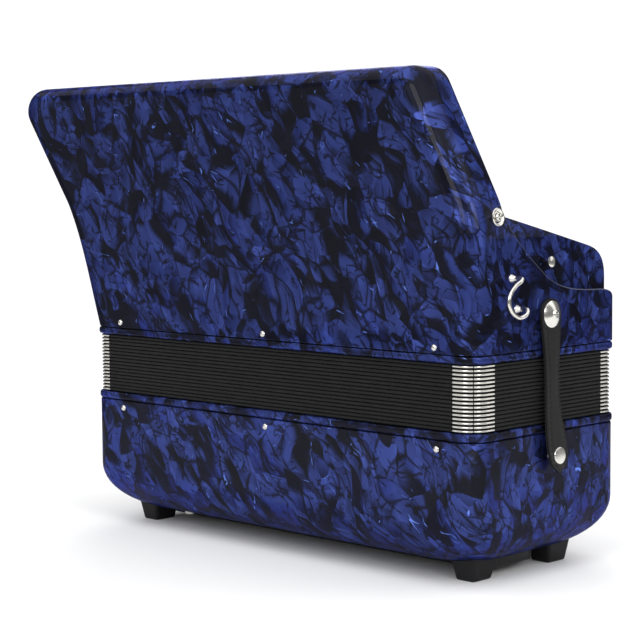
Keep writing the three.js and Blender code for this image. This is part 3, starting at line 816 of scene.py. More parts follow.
# ---- bellows -----------------------------------------------------------------------------
def swept(path, section, closed_path=True, closed_section=True):
    """A section of (outward, z) points carried along a path of (x, y, normal x, normal y)."""
    rings = [[(x + u * nx, y + u * ny, z) for u, z in section] for x, y, nx, ny in path]
    count = len(section)
    points = [point for ring in rings for point in ring]
    faces = []
    for index in range(len(rings) if closed_path else len(rings) - 1):
        low, high = index * count, ((index + 1) % len(rings)) * count
        for step in range(count if closed_section else count - 1):
            after = (step + 1) % count
            faces.append((low + step, high + step, high + after, low + after))
    if not closed_path:
        faces.append(tuple(reversed(range(count))))
        faces.append(tuple(range(len(points) - count, len(points))))
    return points, faces


def body_path(outset, steps):
    """The body's round-cornered outline as a path with its outward normals."""
    radius = CORNER + outset
    outline = rounded_rectangle(HALF_WIDTH + outset, HALF_DEPTH + outset, radius, steps)
    path = []
    for index, (x, y) in enumerate(outline):
        corner, step = divmod(index, steps + 1)
        angle = math.radians(90 * corner + 90 * step / steps)
        path.append((x, y, math.cos(angle), math.sin(angle)))
    return path


def nosed_section(depth, low, high, radius, steps=5):
    """A flat bar's section whose outer edges are rounded, as (outward, z) points."""
    made = [(-depth, low)]
    made += arc((-radius, low + radius), radius, -90, 0, steps)
    made += arc((-radius, high - radius), radius, 0, 90, steps)
    return made + [(-depth, high)]


def make_frames():
    """The two bellows frames: rounded pearl bands, each on a black gasket."""
    for name, body, seam in (
        ("bass_frame", "bass_side", BASS_TOP), ("treble_frame", "treble_side", TREBLE_BOTTOM),
    ):
        low, high = (corner.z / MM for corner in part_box(name))
        band = swept(body_path(0.8, 12), nosed_section(18, low, high, 2.2))
        thing = make_object(f"{name}_band", *band, MATERIALS["pearl"])
        shade(thing, 50)
        ride(thing, body, "pearl_celluloid", name)
        gasket = swept(body_path(-2.2, 8), nosed_section(8, seam - 1.2, seam + 1.4, 0.6, 2))
        thing = make_object(f"{name}_gasket", *gasket, MATERIALS["felt"])
        shade(thing, 50)
        ride(thing, body, "bellows_cloth")


def fold_middles():
    """The height of each fold's ridge."""
    return [sum(corner.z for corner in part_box(node)) / 2 / MM for node in FOLDS]


FOLD_OUTSET = -2


def make_fold_ridges(ridge):
    """The taped ridge of each fold, a stiff ring that rides with it."""
    for node, z in zip(FOLDS, fold_middles()):
        section = nosed_section(7, z - ridge / 2, z + ridge / 2, ridge * 0.45, 3)
        ring = swept(body_path(FOLD_OUTSET, 8), section)
        thing = make_object(f"ridge_{node[-2:]}", *ring, MATERIALS["cloth"])
        shade(thing, 50)
        ride(thing, node, "bellows_cloth", node)


def corner_path(side_x, side_y, outset, reach_x, reach_y, steps=12):
    """The path of one corner metal, with a small dent in the middle of its bend."""
    radius = CORNER + outset
    center = (side_x * (HALF_WIDTH - CORNER), side_y * (HALF_DEPTH - CORNER))
    path = [(side_x * (HALF_WIDTH - reach_x), side_y * (HALF_DEPTH + outset), 0, side_y)]
    for index in range(steps + 1):
        angle = math.pi / 2 * (1 - index / steps)
        nx, ny = side_x * math.cos(angle), side_y * math.sin(angle)
        draw = 0.55 if index == steps // 2 else 0
        path.append((center[0] + (radius - draw) * nx, center[1] + (radius - draw) * ny, nx, ny))
    path.append((side_x * (HALF_WIDTH + outset), side_y * (HALF_DEPTH - reach_y), side_x, 0))
    return path


def make_corner_metals(ridge):
    """Four bent nickel corners on each fold."""
    corners = [(side_x, side_y) for side_x in (-1, 1) for side_y in (-1, 1)]
    for node, z in zip(FOLDS, fold_middles()):
        height = ridge - 0.45
        section = nosed_section(2.6, z - height / 2, z + height / 2, height * 0.42, 3)
        parts = [
            swept(corner_path(side_x, side_y, FOLD_OUTSET + 0.45, 24, 26.6), section, closed_path=False)
            for side_x, side_y in corners
        ]
        thing = make_object(f"fold_corners_{node[-2:]}", *merged(parts), MATERIALS["nickel"])
        shade(thing, 40)
        ride(thing, node, "chrome")


def make_bellows_skin(valley):
    """The folded card between the ridges, one skin from one frame to the other."""
    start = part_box("bass_frame")[1].z / MM
    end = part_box("treble_frame")[0].z / MM
    heights = fold_middles()
    section = [(-9, start - 1)]
    low = start
    for index, z in enumerate(heights):
        section.append((-valley, (low + z) / 2 if index else start + 0.2))
        section.append((-6, z))
        low = z
    section += [(-valley, end - 0.2), (-9, end + 1)]
    skin = swept(body_path(FOLD_OUTSET, 8), section, closed_section=False)
    # The skin wears the near-black card, painted shade in the fold valleys.
    thing = make_object("bellows_skin", *skin, MATERIALS["card"])
    add_modifier(thing, "SOLIDIFY", thickness=0.5 * MM, offset=-1.0)
    apply_stack(thing)
    thing.data.shade_smooth()
    thing.data.set_sharp_from_angle(angle=math.radians(40))
    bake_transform(thing)


class ACCORDION_OT_bellows(bpy.types.Operator):
    """Make the bellows frames, the folds with their metal corners, and the skin"""

    bl_idname = "accordion.bellows"
    bl_label = "Bellows"

    def execute(self, context):
        sizes = context.scene.accordion_sizes
        make_frames()
        make_fold_ridges(sizes.ridge / MM)
        make_corner_metals(sizes.ridge / MM)
        make_bellows_skin(sizes.valley / MM)
        return {"FINISHED"}


# ---- turned pieces and fittings ----------------------------------------------------------
def turned(name, profile, material, steps=32, degrees=40):
    """A turned piece about Z at the origin. Its profile is (radius, height) points in
    millimetres, from top to bottom, with both ends on the axis."""
    mesh = bpy.data.meshes.new(name)
    points = [(radius * MM, 0, height * MM) for radius, height in profile]
    mesh.from_pydata(points, [(i, i + 1) for i in range(len(points) - 1)], [])
    mesh.materials.append(material)
    thing = bpy.data.objects.new(name, mesh)
    bpy.context.scene.collection.objects.link(thing)
    add_modifier(
        thing, "SCREW", axis="Z", steps=steps, render_steps=steps,
        use_merge_vertices=True, merge_threshold=1e-6,
    )
    apply_stack(thing)
    return shade(thing, degrees)


def cut_cross(thing, top, length, depth):
    """Cuts a cross recess into the top of a turned piece at the origin, in millimetres."""
    for size_x, size_y in ((length / 2, length / 9), (length / 9, length / 2)):
        points, faces = box_mesh((-size_x, -size_y, top - depth), (size_x, size_y, top + 2))
        helper = make_object("cross", points, faces)
        helper.data.transform(Matrix.Translation((-MIDDLE_X, 0, 0)))
        carve(thing, ("DIFFERENCE", helper))
    return shade(thing)


def stand(thing, spot, direction):
    """Turns a piece's Z to a direction and moves its origin to a spot in millimetres."""
    turn = Vector(direction).to_track_quat("Z", "Y").to_matrix().to_4x4()
    thing.data.transform(Matrix.Translation(place(*spot)) @ turn)
    return thing


def make_fitting(name, profile, steps, spot, direction, body, *replaced, cross=None):
    """A turned nickel piece set in its place, with a cross recess where it has one."""
    thing = turned(name, profile, MATERIALS["nickel"], steps)
    if cross:
        cut_cross(thing, *cross)
    stand(thing, spot, direction)
    ride(thing, body, "chrome", *replaced)


def scattered(name, template, spots, direction=(0, 0, 1)):
    """Copies of a turned piece as one object. A spot is (x, y, z, material index)."""
    turn = Vector(direction).to_track_quat("Z", "Y").to_matrix().to_4x4()
    work = bmesh.new()
    for x, y, z, index in spots:
        known_verts, known_faces = len(work.verts), len(work.faces)
        work.from_mesh(template.data)
        work.verts.ensure_lookup_table()
        work.faces.ensure_lookup_table()
        matrix = Matrix.Translation(place(x, y, z)) @ turn
        bmesh.ops.transform(work, matrix=matrix, verts=work.verts[known_verts:])
        for face in work.faces[known_faces:]:
            face.material_index = index
    mesh = bpy.data.meshes.new(name)
    work.to_mesh(mesh)
    work.free()
    for material in template.data.materials:
        mesh.materials.append(material)
    thing = bpy.data.objects.new(name, mesh)
    bpy.context.scene.collection.objects.link(thing)
    bpy.data.objects.remove(template)
    return thing


def wall_at(z, side):
    """The end wall's place and outward direction at a height; side is -1 near, 1 far."""
    outline = treble_outline()
    best = None
    for index, here in enumerate(outline):
        after = outline[(index + 1) % len(outline)]
        low, high = sorted((here[1], after[1]))
        if low <= z <= high and high > low and here[0] * side > 100:
            share = (z - here[1]) / (after[1] - here[1])
            along = (Vector(after) - Vector(here)).normalized()
            best = (here[0] + share * (after[0] - here[0]), Vector((along.y, 0, -along.x)))
    return best


ENDS = (("near", -1, 239.5), ("far", 1, 251.6))
STRAP_Y, PIVOT_Z, HINGE_Z, SNAP_Z, TIP_Z = 4, 216.4, 198.6, 101.2, 87
STRAP_THICKNESS = 3.6
# Places on the end walls, as (y, z).
ROSETTE_SPOT, PARK_SPOT = (67, 296), (-3, 258.5)
# Heights down a closing strap, with how far it stands off there, its half width and its sway.
STRAP_SHAPE = (
    (230, 0, 13, 0), (PIVOT_Z, 0, 13, 0), (197, 0.7, 10.9, 0), (183, 1.2, 9.4, 0),
    (167, 1.4, 8.5, 0), (150, 1.8, 8.7, 0), (134, 2.6, 9.9, 0.6), (117, 4, 11.7, 1.8),
    (106, 5, 12.3, 2.8), (98, 5.5, 10.8, 3.4), (92, 5.7, 7.6, 3.7), (TIP_Z, 5.9, 1.2, 3.9),
)


def along_shape(shape, z):
    """The other values of a table of falling heights, found between its rows."""
    for index in range(len(shape) - 1):
        if shape[index][0] >= z >= shape[index + 1][0]:
            break
    rows = [shape[max(0, min(len(shape) - 1, index + step))] for step in (-1, 0, 1, 2)]
    t = (rows[1][0] - z) / (rows[1][0] - rows[2][0])
    made = []
    for before, here, after, last in zip(*[row[1:] for row in rows]):
        pull = (after - before) * t + (2 * before - 5 * here + 4 * after - last) * t**2
        made.append(here + (pull + (3 * here - before - 3 * after + last) * t**3) / 2)
    return made


def strap_face(side, strap_x, z):
    """The x of a closing strap's middle plane at a height."""
    return side * (strap_x + along_shape(STRAP_SHAPE, z)[0])


def make_strap_disc(name, side, strap_x):
    """The domed nickel disc that holds a closing strap, with its cross-head screw."""
    profile = [
        (0, 5.2), (2.6, 5.1), (3.4, 4.7), (3.6, 4), (4.3, 3.8), (7.6, 2.4), (10, 1.1),
        (11, 0.4), (11, 0), (3, 0), (3, -5), (0, -5),
    ]
    spot = (side * (strap_x + STRAP_THICKNESS / 2), STRAP_Y, PIVOT_Z)
    make_fitting(
        f"strap_disc_{name}", profile, 48, spot, (side, 0, 0), "treble_side", f"strap_screw_{name}",
        cross=(5.2, 4.6, 1.4),
    )


def make_snap(name, side, strap_x):
    """The snap: a cap on the strap's tip and the stud under it on the bass casing."""
    face = strap_face(side, strap_x, SNAP_Z)
    slant = (strap_face(1, strap_x, SNAP_Z - 2) - strap_face(1, strap_x, SNAP_Z + 2)) / 4
    profile = [(0, 1.5), (5.9, 1.4), (6.8, 1.1), (7.1, 0.5), (7.1, 0), (2.5, -0.2), (0, -0.2)]
    snap_y = STRAP_Y - along_shape(STRAP_SHAPE, SNAP_Z)[2]
    spot = (face + side * STRAP_THICKNESS / 2, snap_y, SNAP_Z)
    make_fitting(f"snap_cap_{name}", profile, 40, spot, (side, 0, slant), f"closing_strap_tail_{name}")

    length = abs(face) - HALF_WIDTH - STRAP_THICKNESS / 2 - 0.1
    profile = [
        (0, length), (2.6, length), (3.4, length - 0.8), (3.5, length - 1.8), (2.6, length - 2.6),
        (2.5, 1.4), (3.6, 0.8), (4, 0.3), (4, 0), (0, 0),
    ]
    spot = (side * HALF_WIDTH, snap_y, SNAP_Z)
    make_fitting(
        f"snap_post_{name}", profile, 32, spot, (side, 0, 0), "bass_side", f"snap_stud_{name}"
    )


def make_wire_loop(name, side):
    """The bent wire loop for a shoulder strap, with a coned washer at each leg."""
    top_y, top_z, low_y, low_z = 51.8, 247.4, 44.9, 222.6
    bow = side * (HALF_WIDTH + 11.7 if side < 0 else 267.7)
    root = {z: wall_at(z, side)[0] for z in (top_z, low_z)}
    route = [
        (root[top_z] - side, top_y, top_z), (bow - side * 1.5, top_y, top_z),
        (bow, top_y + 1.6, top_z - 1), (bow, 61, 242.4), (bow, 67.7, 236.4), (bow, 69.7, 230.3),
        (bow, 67.7, 223.9), (bow, 61, 218.4), (bow, 54.2, 217), (bow, low_y + 1.6, low_z - 2.2),
        (bow - side * 1.5, low_y, low_z), (root[low_z] - side, low_y, low_z),
    ]
    line = bpy.data.curves.new(f"wire_loop_{name}", "CURVE")
    line.dimensions = "3D"
    line.bevel_depth = 1.7 * MM
    line.bevel_resolution = 5
    line.resolution_u = 10
    line.render_resolution_u = 10
    line.use_fill_caps = True
    spline = line.splines.new("BEZIER")
    spline.bezier_points.add(len(route) - 1)
    for knot, spot in zip(spline.bezier_points, route):
        knot.co = place(*spot)
        knot.handle_left_type = knot.handle_right_type = "AUTO"
    line.materials.append(MATERIALS["nickel"])
    loop = bpy.data.objects.new(line.name, line)
    bpy.context.scene.collection.objects.link(loop)
    ride(loop, "treble_side", "chrome", f"strap_loop_{name}")
    for part, y, z in (("upper", top_y, top_z), ("lower", low_y, low_z)):
        profile = [(0, 4.4), (1.9, 4.3), (2.4, 3.2), (3.5, 0.9), (3.8, 0.3), (3.8, -0.6), (0, -0.6)]
        x, outward = wall_at(z, side)
        make_fitting(
            f"loop_washer_{part}_{name}", profile, 32, (x, y, z), outward, "treble_side"
        )


def make_wall_screw(name, side):
    """The screw with a dished washer that holds the fingerboard to the end wall."""
    profile = [
        (0, 3), (2.6, 2.9), (3.5, 2.3), (3.6, 0.3), (4.4, 0.2), (5.8, 1.9), (6.8, 2.1), (7.3, 1.4),
        (7.3, -1.6), (0, -1.6),
    ]
    y, z = ROSETTE_SPOT
    x, outward = wall_at(z, side)
    make_fitting(
        f"rosette_screw_{name}", profile, 40, (x, y, z), outward + Vector((side, 0, 0)),
        "treble_side", cross=(3, 4.8, 1.5),
    )


def make_park_stud(name, side):
    """The stud on the cover's cheek that a closing strap is snapped to when it is open."""
    profile = [
        (0, 6.2), (3.4, 6.1), (4.4, 5.6), (4.6, 4.6), (3.6, 3.8), (2, 3.2), (1.4, 2.2), (1.4, -0.6),
        (0, -0.6),
    ]
    y, z = PARK_SPOT
    x, outward = wall_at(z, side)
    spot = (x - side * COVER_INSET, y, z)
    make_fitting(f"park_stud_{name}", profile, 32, spot, outward, "treble_side")


def make_pins():
    """The domed pins that hold each bellows frame to its casing."""
    profile = [(0, 1.9), (1.3, 1.75), (2.3, 1.2), (2.85, 0.4), (2.9, -0.4), (0, -0.4)]
    for name, body, z, places in (
        ("bass", "bass_side", 112.3, (191, -2, -198)),
        ("treble", "treble_side", 193.2, (194, 0, -196)),
    ):
        for face, side in (("back", 1), ("front", -1)):
            pin = turned("pin", profile, MATERIALS["nickel"], 24)
            spots = [(x, side * HALF_DEPTH, z, 0) for x in places]
            pins = scattered(f"bellows_pins_{name}_{face}", pin, spots, (0, side, 0))
            ride(pins, body, "chrome")


def make_wheel():
    """The ribbed wheel that slackens the hand strap."""
    ribs, x = 36, HALF_WIDTH
    rings = []
    for reach, outer, inner in ((1, 9.9, 9.4), (1.6, 11, 10.2), (8.2, 11, 10.2), (9, 9.9, 9.4)):
        ring = []
        for step in range(ribs * 2):
            radius = outer if step % 2 else inner
            angle = math.pi * step / ribs
            y, z = (WHEEL_SPOT[0] + radius * math.cos(angle), WHEEL_SPOT[1] + radius * math.sin(angle))
            ring.append((x + reach, y, z))
        rings.append(ring)
    grip = loft(rings)
    shaft = cylinder_along("x", WHEEL_SPOT, x - 16, x + 1.5, 3, 20)
    hub = cylinder_along("x", WHEEL_SPOT, x + 8.8, x + 9.4, 5, 32)
    wheel = make_object("hand_strap_wheel", *merged([grip, shaft, hub]), MATERIALS["nickel"])
    soften(wheel, 0.25, 1, 50)
    ride(wheel, "strap_wheel", "chrome", "strap_wheel")


class ACCORDION_OT_fittings(bpy.types.Operator):
    """Make the nickel fittings: discs, snaps, loops, screws, studs, pins and wheel"""

    bl_idname = "accordion.fittings"
    bl_label = "Fittings"

    def execute(self, context):
        for name, side, strap_x in ENDS:
            make_strap_disc(name, side, strap_x)
            make_snap(name, side, strap_x)
            make_wire_loop(name, side)
            make_wall_screw(name, side)
            make_park_stud(name, side)
        make_pins()
        make_wheel()
        return {"FINISHED"}


# ---- leather -----------------------------------------------------------------------------
# A closing strap's two plies, and how far its stitching lies from its edge.
FACE_PLY, LINING_PLY, STITCH_INSET = 1.9, 1.6, 3.1


def section_of(half, inset):
    """Places across a strap of a half width, each with how far its face lies back there: the
    edges are rounded off, and a groove is pressed along each line of stitches."""
    scale = min(1.0, half / (inset + 1.2))
    groove = 0.7 if scale == 1.0 else 0.0
    steps = ((0, 0.75), (0.15, 0.35), (0.6, 0), (inset - 0.7, 0), (inset, groove), (inset + 0.7, 0))
    side = [(half - reach * scale, back) for reach, back in steps]
    side.append(((half - inset * scale) * 0.45, 0))
    return [(-u, back) for u, back in side] + [(0, 0)] + [pair for pair in reversed(side)]


def strap_rings(route, across, thickness, inset, crown=0.0, lift=0.0):
    """Rings of a flat strap. The route is (point, half width) pairs; the strap is crowned
    in its middle, sewn down along its edges, and moved off its route by lift."""
    rings = []
    for index, (spot, half) in enumerate(route):
        before = route[max(0, index - 1)][0]
        after = route[min(len(route) - 1, index + 1)][0]
        normal = (after - before).cross(across).normalized()
        places = section_of(half, inset)
        ring = []
        for sign, order in ((1, places), (-1, reversed(places))):
            for u, back in order:
                bulge = crown * max(0, 1 - (u / (half * 0.8)) ** 2)
                rise = lift + sign * (thickness / 2 - min(back, thickness * 0.45) + bulge)
                ring.append(tuple(spot + across * u + normal * rise))
        rings.append(ring)
    return rings


def stitches(route, across, inset, surface, length):
    """Threads along both borders of a strap, as small spindles half sunk in the leather."""
    parts = []
    for sign in (-1, 1):
        walked, due = 0.0, 2.0
        for (here, half), (there, next_half) in zip(route, route[1:]):
            step = (there - here).length
            if half > inset + 2 and walked + step > due + length:
                along = (there - here).normalized()
                normal = along.cross(across).normalized()
                edge = (across * sign * (next_half - half) + (there - here)).normalized()
                middle = here + across * sign * (half - inset) + normal * surface
                rings = []
                for share, radius in ((-0.5, 0.15), (-0.36, 0.45), (0.36, 0.45), (0.5, 0.15)):
                    center = middle + edge * length * share
                    turns = [math.pi * k / 3 for k in range(6)]
                    spokes = [across * math.cos(a) * 1.5 + normal * math.sin(a) * 0.8 for a in turns]
                    rings.append([tuple(center + spoke * radius) for spoke in spokes])
                parts.append(loft(rings))
                due += length * 1.35
            walked += step
    return merged(parts)


def closing_route(side, strap_x):
    """A closing strap from its round top, over its waist, to its pointed tip."""
    shape = []
    for angle in range(8, 90, 6):
        turn = math.radians(angle)
        shape.append((13 * math.sin(turn), PIVOT_Z + 13 * math.cos(turn)))
    shape += [(along_shape(STRAP_SHAPE, z)[1], z) for z in range(216, 88, -3)]
    shape.append((1, TIP_Z))
    return [
        (Vector((strap_face(side, strap_x, z), STRAP_Y - along_shape(STRAP_SHAPE, z)[2], z)), half)
        for half, z in shape
    ]


def even_route(route, step):
    """The same route with stations an even step apart."""
    made = [route[0]]
    for (here, half), (there, next_half) in zip(route, route[1:]):
        count = max(1, round((there - here).length / step))
        for index in range(1, count + 1):
            share = index / count
            made.append((here.lerp(there, share), half + (next_half - half) * share))
    return made


def make_closing_strap(name, side, strap_x, stitch):
    """A closing strap of two plies of leather, stitched along its border."""
    across = Vector((0, side, 0))
    route = even_route(closing_route(side, strap_x), 1.5)
    narrow = [(spot, max(0.5, half - 0.5)) for spot, half in route]
    head, tail = f"closing_strap_{name}", f"closing_strap_tail_{name}"
    face = loft(strap_rings(route, across, FACE_PLY, STITCH_INSET, 0.15, 0.85))
    lining = loft(strap_rings(narrow, across, LINING_PLY, STITCH_INSET, 0, -0.97))
    threads = stitches(route, across, STITCH_INSET, 1.5, stitch)
    made = [
        make_object(f"strap_face_{name}", *face, MATERIALS["leather"]),
        make_object(f"strap_lining_{name}", *lining, MATERIALS["leather"]),
        make_object(f"strap_stitches_{name}", *threads, MATERIALS["thread"]),
    ]
    for thing in made:
        shade(thing, 50)
        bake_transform(thing)
    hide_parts(head, tail)


def make_hand_strap(stitch):
    """The padded leather strap for the left hand, bowed under the bass casing."""
    low, half_x, half, y = 5.9, 204.6, 24.5, 9
    bow = bezier((-half_x, 11.5), (-half_x, low), (-half_x + 10, low), (-half_x + 26, low), 12)
    shape = [(-half_x, 15.5), (-half_x, 11.5)] + bow
    shape += [(-x, z) for x, z in reversed(shape)]
    route = even_route([(Vector((x, y, z)), half) for x, z in shape], 4)
    across = Vector((0, 1, 0))
    strap = make_object(
        "hand_strap_leather", *loft(strap_rings(route, across, 2.6, 3.2, 0.9)), MATERIALS["leather"]
    )
    shade(strap, 50)
    ride(strap, "bass_side", "leather", "hand_strap")
    fine = even_route(route, 1.5)
    for part, surface in (("outer", 0.85), ("inner", -0.85)):
        sewn = stitches(fine, across, 3.2, surface, stitch)
        threads = make_object(f"hand_strap_stitches_{part}", *sewn, MATERIALS["thread"])
        shade(threads, 50)
        ride(threads, "bass_side", "leather")


class ACCORDION_OT_leather(bpy.types.Operator):
    """Make the closing straps and the hand strap, with their stitching"""

    bl_idname = "accordion.leather"
    bl_label = "Leather"

    def execute(self, context):
        stitch = context.scene.accordion_sizes.stitch / MM
        for end in ENDS:
            make_closing_strap(*end, stitch)
        make_hand_strap(stitch)
        return {"FINISHED"}


# ---- cover and registers -----------------------------------------------------------------
COVER_INSET = 7.3
COVER_SHELL = 3
COVER_REAR, COVER_SHOULDER, COVER_FRONT, COVER_LOW = (57.4, 298.2), (-60, 270.4), -84, 208
# The foot turned out along the cover's front edge: how far, its top, and where it ends.
FOOT_Y, FOOT_TOP, FOOT_END = -90.5, 212, 220.5
COVER_SLOPE = math.atan2(COVER_REAR[1] - COVER_SHOULDER[1], COVER_REAR[0] - COVER_SHOULDER[0])
GRILLE_SPOTS = [(-172 + 36 * index, -14) for index in range(11)]
SWITCH_SPOTS = [(-60 + 48 * index, 42) for index in range(4)]


def tilted(shape, y):
    """Points and faces drawn flat, laid on the cover's slope at a depth y."""
    points, faces = shape
    base = COVER_SHOULDER[1] + (y - COVER_SHOULDER[0]) * math.tan(COVER_SLOPE)
    sine, cosine = math.sin(COVER_SLOPE), math.cos(COVER_SLOPE)
    laid = [(x, y + v * cosine - w * sine, base + v * sine + w * cosine) for x, v, w in points]
    return laid, faces


def cover_profile(inset):
    """The cover from its end, in (y, z)."""
    beyond = 20 if inset else 0
    rise = math.tan(COVER_SLOPE) * beyond
    rear = COVER_REAR[0] + beyond
    made = [
        (rear, COVER_LOW - beyond), (rear, COVER_REAR[1] - inset + rise),
        (COVER_SHOULDER[0], COVER_SHOULDER[1] - inset),
    ]
    front = COVER_FRONT + inset
    shoulder = COVER_SHOULDER[1]
    pull = (COVER_SHOULDER[0] - 14, shoulder - 3.5 - inset)
    made += bezier(made[-1], pull, (front, shoulder - 9), (front, shoulder - 28), 16)
    if inset:
        return made + [(front, COVER_LOW - beyond)]
    return made + [(front, FOOT_TOP), (FOOT_Y, FOOT_TOP), (FOOT_Y, COVER_LOW)]


def cover_body(inset, reach):
    """The space inside the cover's outline, as an object."""
    flat = inset_outline(treble_outline(), COVER_INSET + inset)
    slab = loft([[(x, y, z) for x, z in flat] for y in (-reach, reach)])
    body = make_object("cover_body", *prism_along_x(cover_profile(inset), -260, 380))
    return carve(body, ("INTERSECT", make_object("cover_slab", *slab)))


def upright_loft(outline, low, high, center=(0, 0)):
    """An outline in plan, moved to a centre and extruded upwards."""
    return loft([[(x + center[0], y + center[1], z) for x, y in outline] for z in (low, high)])


def make_cover():
    """The pearl cover over the treble action, with its row of grille openings."""
    cover = cover_body(0, 100)
    cover.name = "cover_shell"
    cover.data.materials.clear()
    cover.data.materials.append(MATERIALS["pearl"])
    window, notch = rounded_rectangle(13, 28, 5, 6), rounded_rectangle(17.8, 7.6, 1.5, 4)
    slots = [tilted(upright_loft(window, -9, 9, (x, -1)), y) for x, y in GRILLE_SPOTS]
    slots += [tilted(upright_loft(notch, -9, 9, (x, 0)), y) for x, y in SWITCH_SPOTS]
    corners = [
        box_mesh((low, -100, COVER_LOW - 5), (high, COVER_FRONT, FOOT_TOP + 5))
        for low, high in ((-260, -FOOT_END), (FOOT_END, 260))
    ]
    carve(
        cover, ("DIFFERENCE", cover_body(COVER_SHELL, 100)),
        ("DIFFERENCE", make_object("slots", *merged(slots + corners))),
    )
    soften(cover, 0.9, 3, 40)
    ride(cover, "treble_side", "pearl_celluloid", "grille_cover")


def make_grille():
    """Black cloth behind the openings, and a nickel trim round each."""
    cloth = box_mesh((-190, -33, -4.2), (206, 31, -3.6))
    thing = make_object("grille_cloth", *tilted(cloth, -14), MATERIALS["cloth"])
    soften(thing, 0.2, 1)
    ride(thing, "treble_side", "bellows_cloth")
    trims = []
    for x, y in GRILLE_SPOTS:
        outline = rounded_rectangle(12.9, 27.9, 4.9, 6)
        path = []
        for index, (u, v) in enumerate(outline):
            corner, step = divmod(index, 7)
            angle = math.radians(90 * corner + 15 * step)
            path.append((x + u, v - 1, math.cos(angle), math.sin(angle)))
        section = [
            (-1.2, -1.5), (0, -1.5), (0, 0.1), (1.1, 0.1), (1.3, 0.5), (0.9, 0.9), (-0.5, 0.9),
            (-1.2, 0.4),
        ]
        trims.append(tilted(swept(path, section), y))
    thing = make_object("grille_trims", *merged(trims), MATERIALS["nickel"])
    shade(thing, 40)
    ride(thing, "treble_side", "chrome")


def make_registers():
    """Four rocking register tabs, each with its count of white dots."""
    for index, (x, y) in enumerate(SWITCH_SPOTS):
        node = f"register_switch_{index + 1}"
        tab = upright_loft(rounded_rectangle(17, 6.5, 1.5, 4), -1.5, 3.5, (x, 0))
        lever = box_mesh((x - 4, -2, -9), (x + 4, 2, -1))
        shape = tilted(merged([tab, lever]), y)
        thing = make_object(f"register_tab_{index + 1}", *shape, MATERIALS["acrylic"])
        soften(thing, 0.9, 3)
        ride(thing, node, "black_plate", node)
        dots = []
        for count in range(index + 1):
            center = (x + (count - index / 2) * 5, 0)
            ring = arc(center, 1.4, 0, 345, 23)
            dots.append(tilted(loft([[(u, v, w) for u, v in ring] for w in (3.2, 3.62)]), y))
        thing = make_object(f"register_dots_{index + 1}", *merged(dots), MATERIALS["white"])
        shade(thing)
        ride(thing, node, "button_resin")


class ACCORDION_OT_cover(bpy.types.Operator):
    """Make the cover, its grille and the register tabs"""

    bl_idname = "accordion.cover"
    bl_label = "Cover and registers"

    def execute(self, context):
        make_cover()
        make_grille()
        make_registers()
        return {"FINISHED"}


# ---- buttons -----------------------------------------------------------------------------
BOARD_FACE, BOARD_BACK, BOARD_LOW = 59.5, 63.5, 300
TREBLE_ROWS, TREBLE_PER_ROW = 5, 21
BASS_ROWS, BASS_PER_ROW = 6, 20
BLACK_STEPS = (1, 3, 6, 8, 10)


def treble_spots(row):
    """Where a row's buttons stand, and whether each is a white or a black note."""
    x, z = 20 + 11 * row, 318 + 18.4 * row
    notes = [(row % 3 + 3 * index) % 12 for index in range(TREBLE_PER_ROW)]
    return [
        (x + (index - 10) * 20, BOARD_FACE - 4.6, z, int(note in BLACK_STEPS))
        for index, note in enumerate(notes)
    ]


def bass_spots(row):
    """Where a row of bass buttons stands."""
    x, y = (row - 2.5) * 4, -22.4 - 9.7 * row
    return [(x + (index - 9.5) * 17, y, 27.4, 0) for index in range(BASS_PER_ROW)]


def make_treble_keys():
    """The black board, its felt bushes, and five rows of white and black buttons."""
    flat = inset_outline(treble_outline(), WALL + 0.4)
    slab = loft([[(x, y, z) for x, z in flat] for y in (BOARD_FACE, BOARD_BACK)])
    board = make_object("fingerboard_plate", *slab, MATERIALS["acrylic"])
    above = make_object("above", *box_mesh((-400, 0, BOARD_LOW), (400, 200, 500)))
    carve(board, ("INTERSECT", above))
    soften(board, 0.5, 2)
    ride(board, "treble_side", "black_plate", "button_board")
    bush = turned("bush", [(0, 0.5), (4.6, 0.5), (5, 0.2), (5, -0.5), (0, -0.5)], MATERIALS["felt"], 16)
    spots = [(x, BOARD_FACE, z, 0) for row in range(TREBLE_ROWS) for x, _, z, _ in treble_spots(row)]
    bushes = scattered("treble_bushes", bush, spots, (0, -1, 0))
    ride(bushes, "treble_side", "bellows_cloth")
    profile = [
        (0, 5), (3.4, 4.95), (5.9, 4.5), (7, 3.7), (7.3, 2.6), (7.1, 0.9), (6.3, 0.1), (3, 0),
        (3, -9), (0, -9),
    ]
    for row in range(TREBLE_ROWS):
        key = turned("key", profile, MATERIALS["white"], 20)
        key.data.materials.append(MATERIALS["black"])
        node = f"treble_button_row_{row + 1}"
        keys = scattered(f"treble_keys_{row + 1}", key, treble_spots(row), (0, -1, 0))
        ride(keys, node, "button_resin", node)


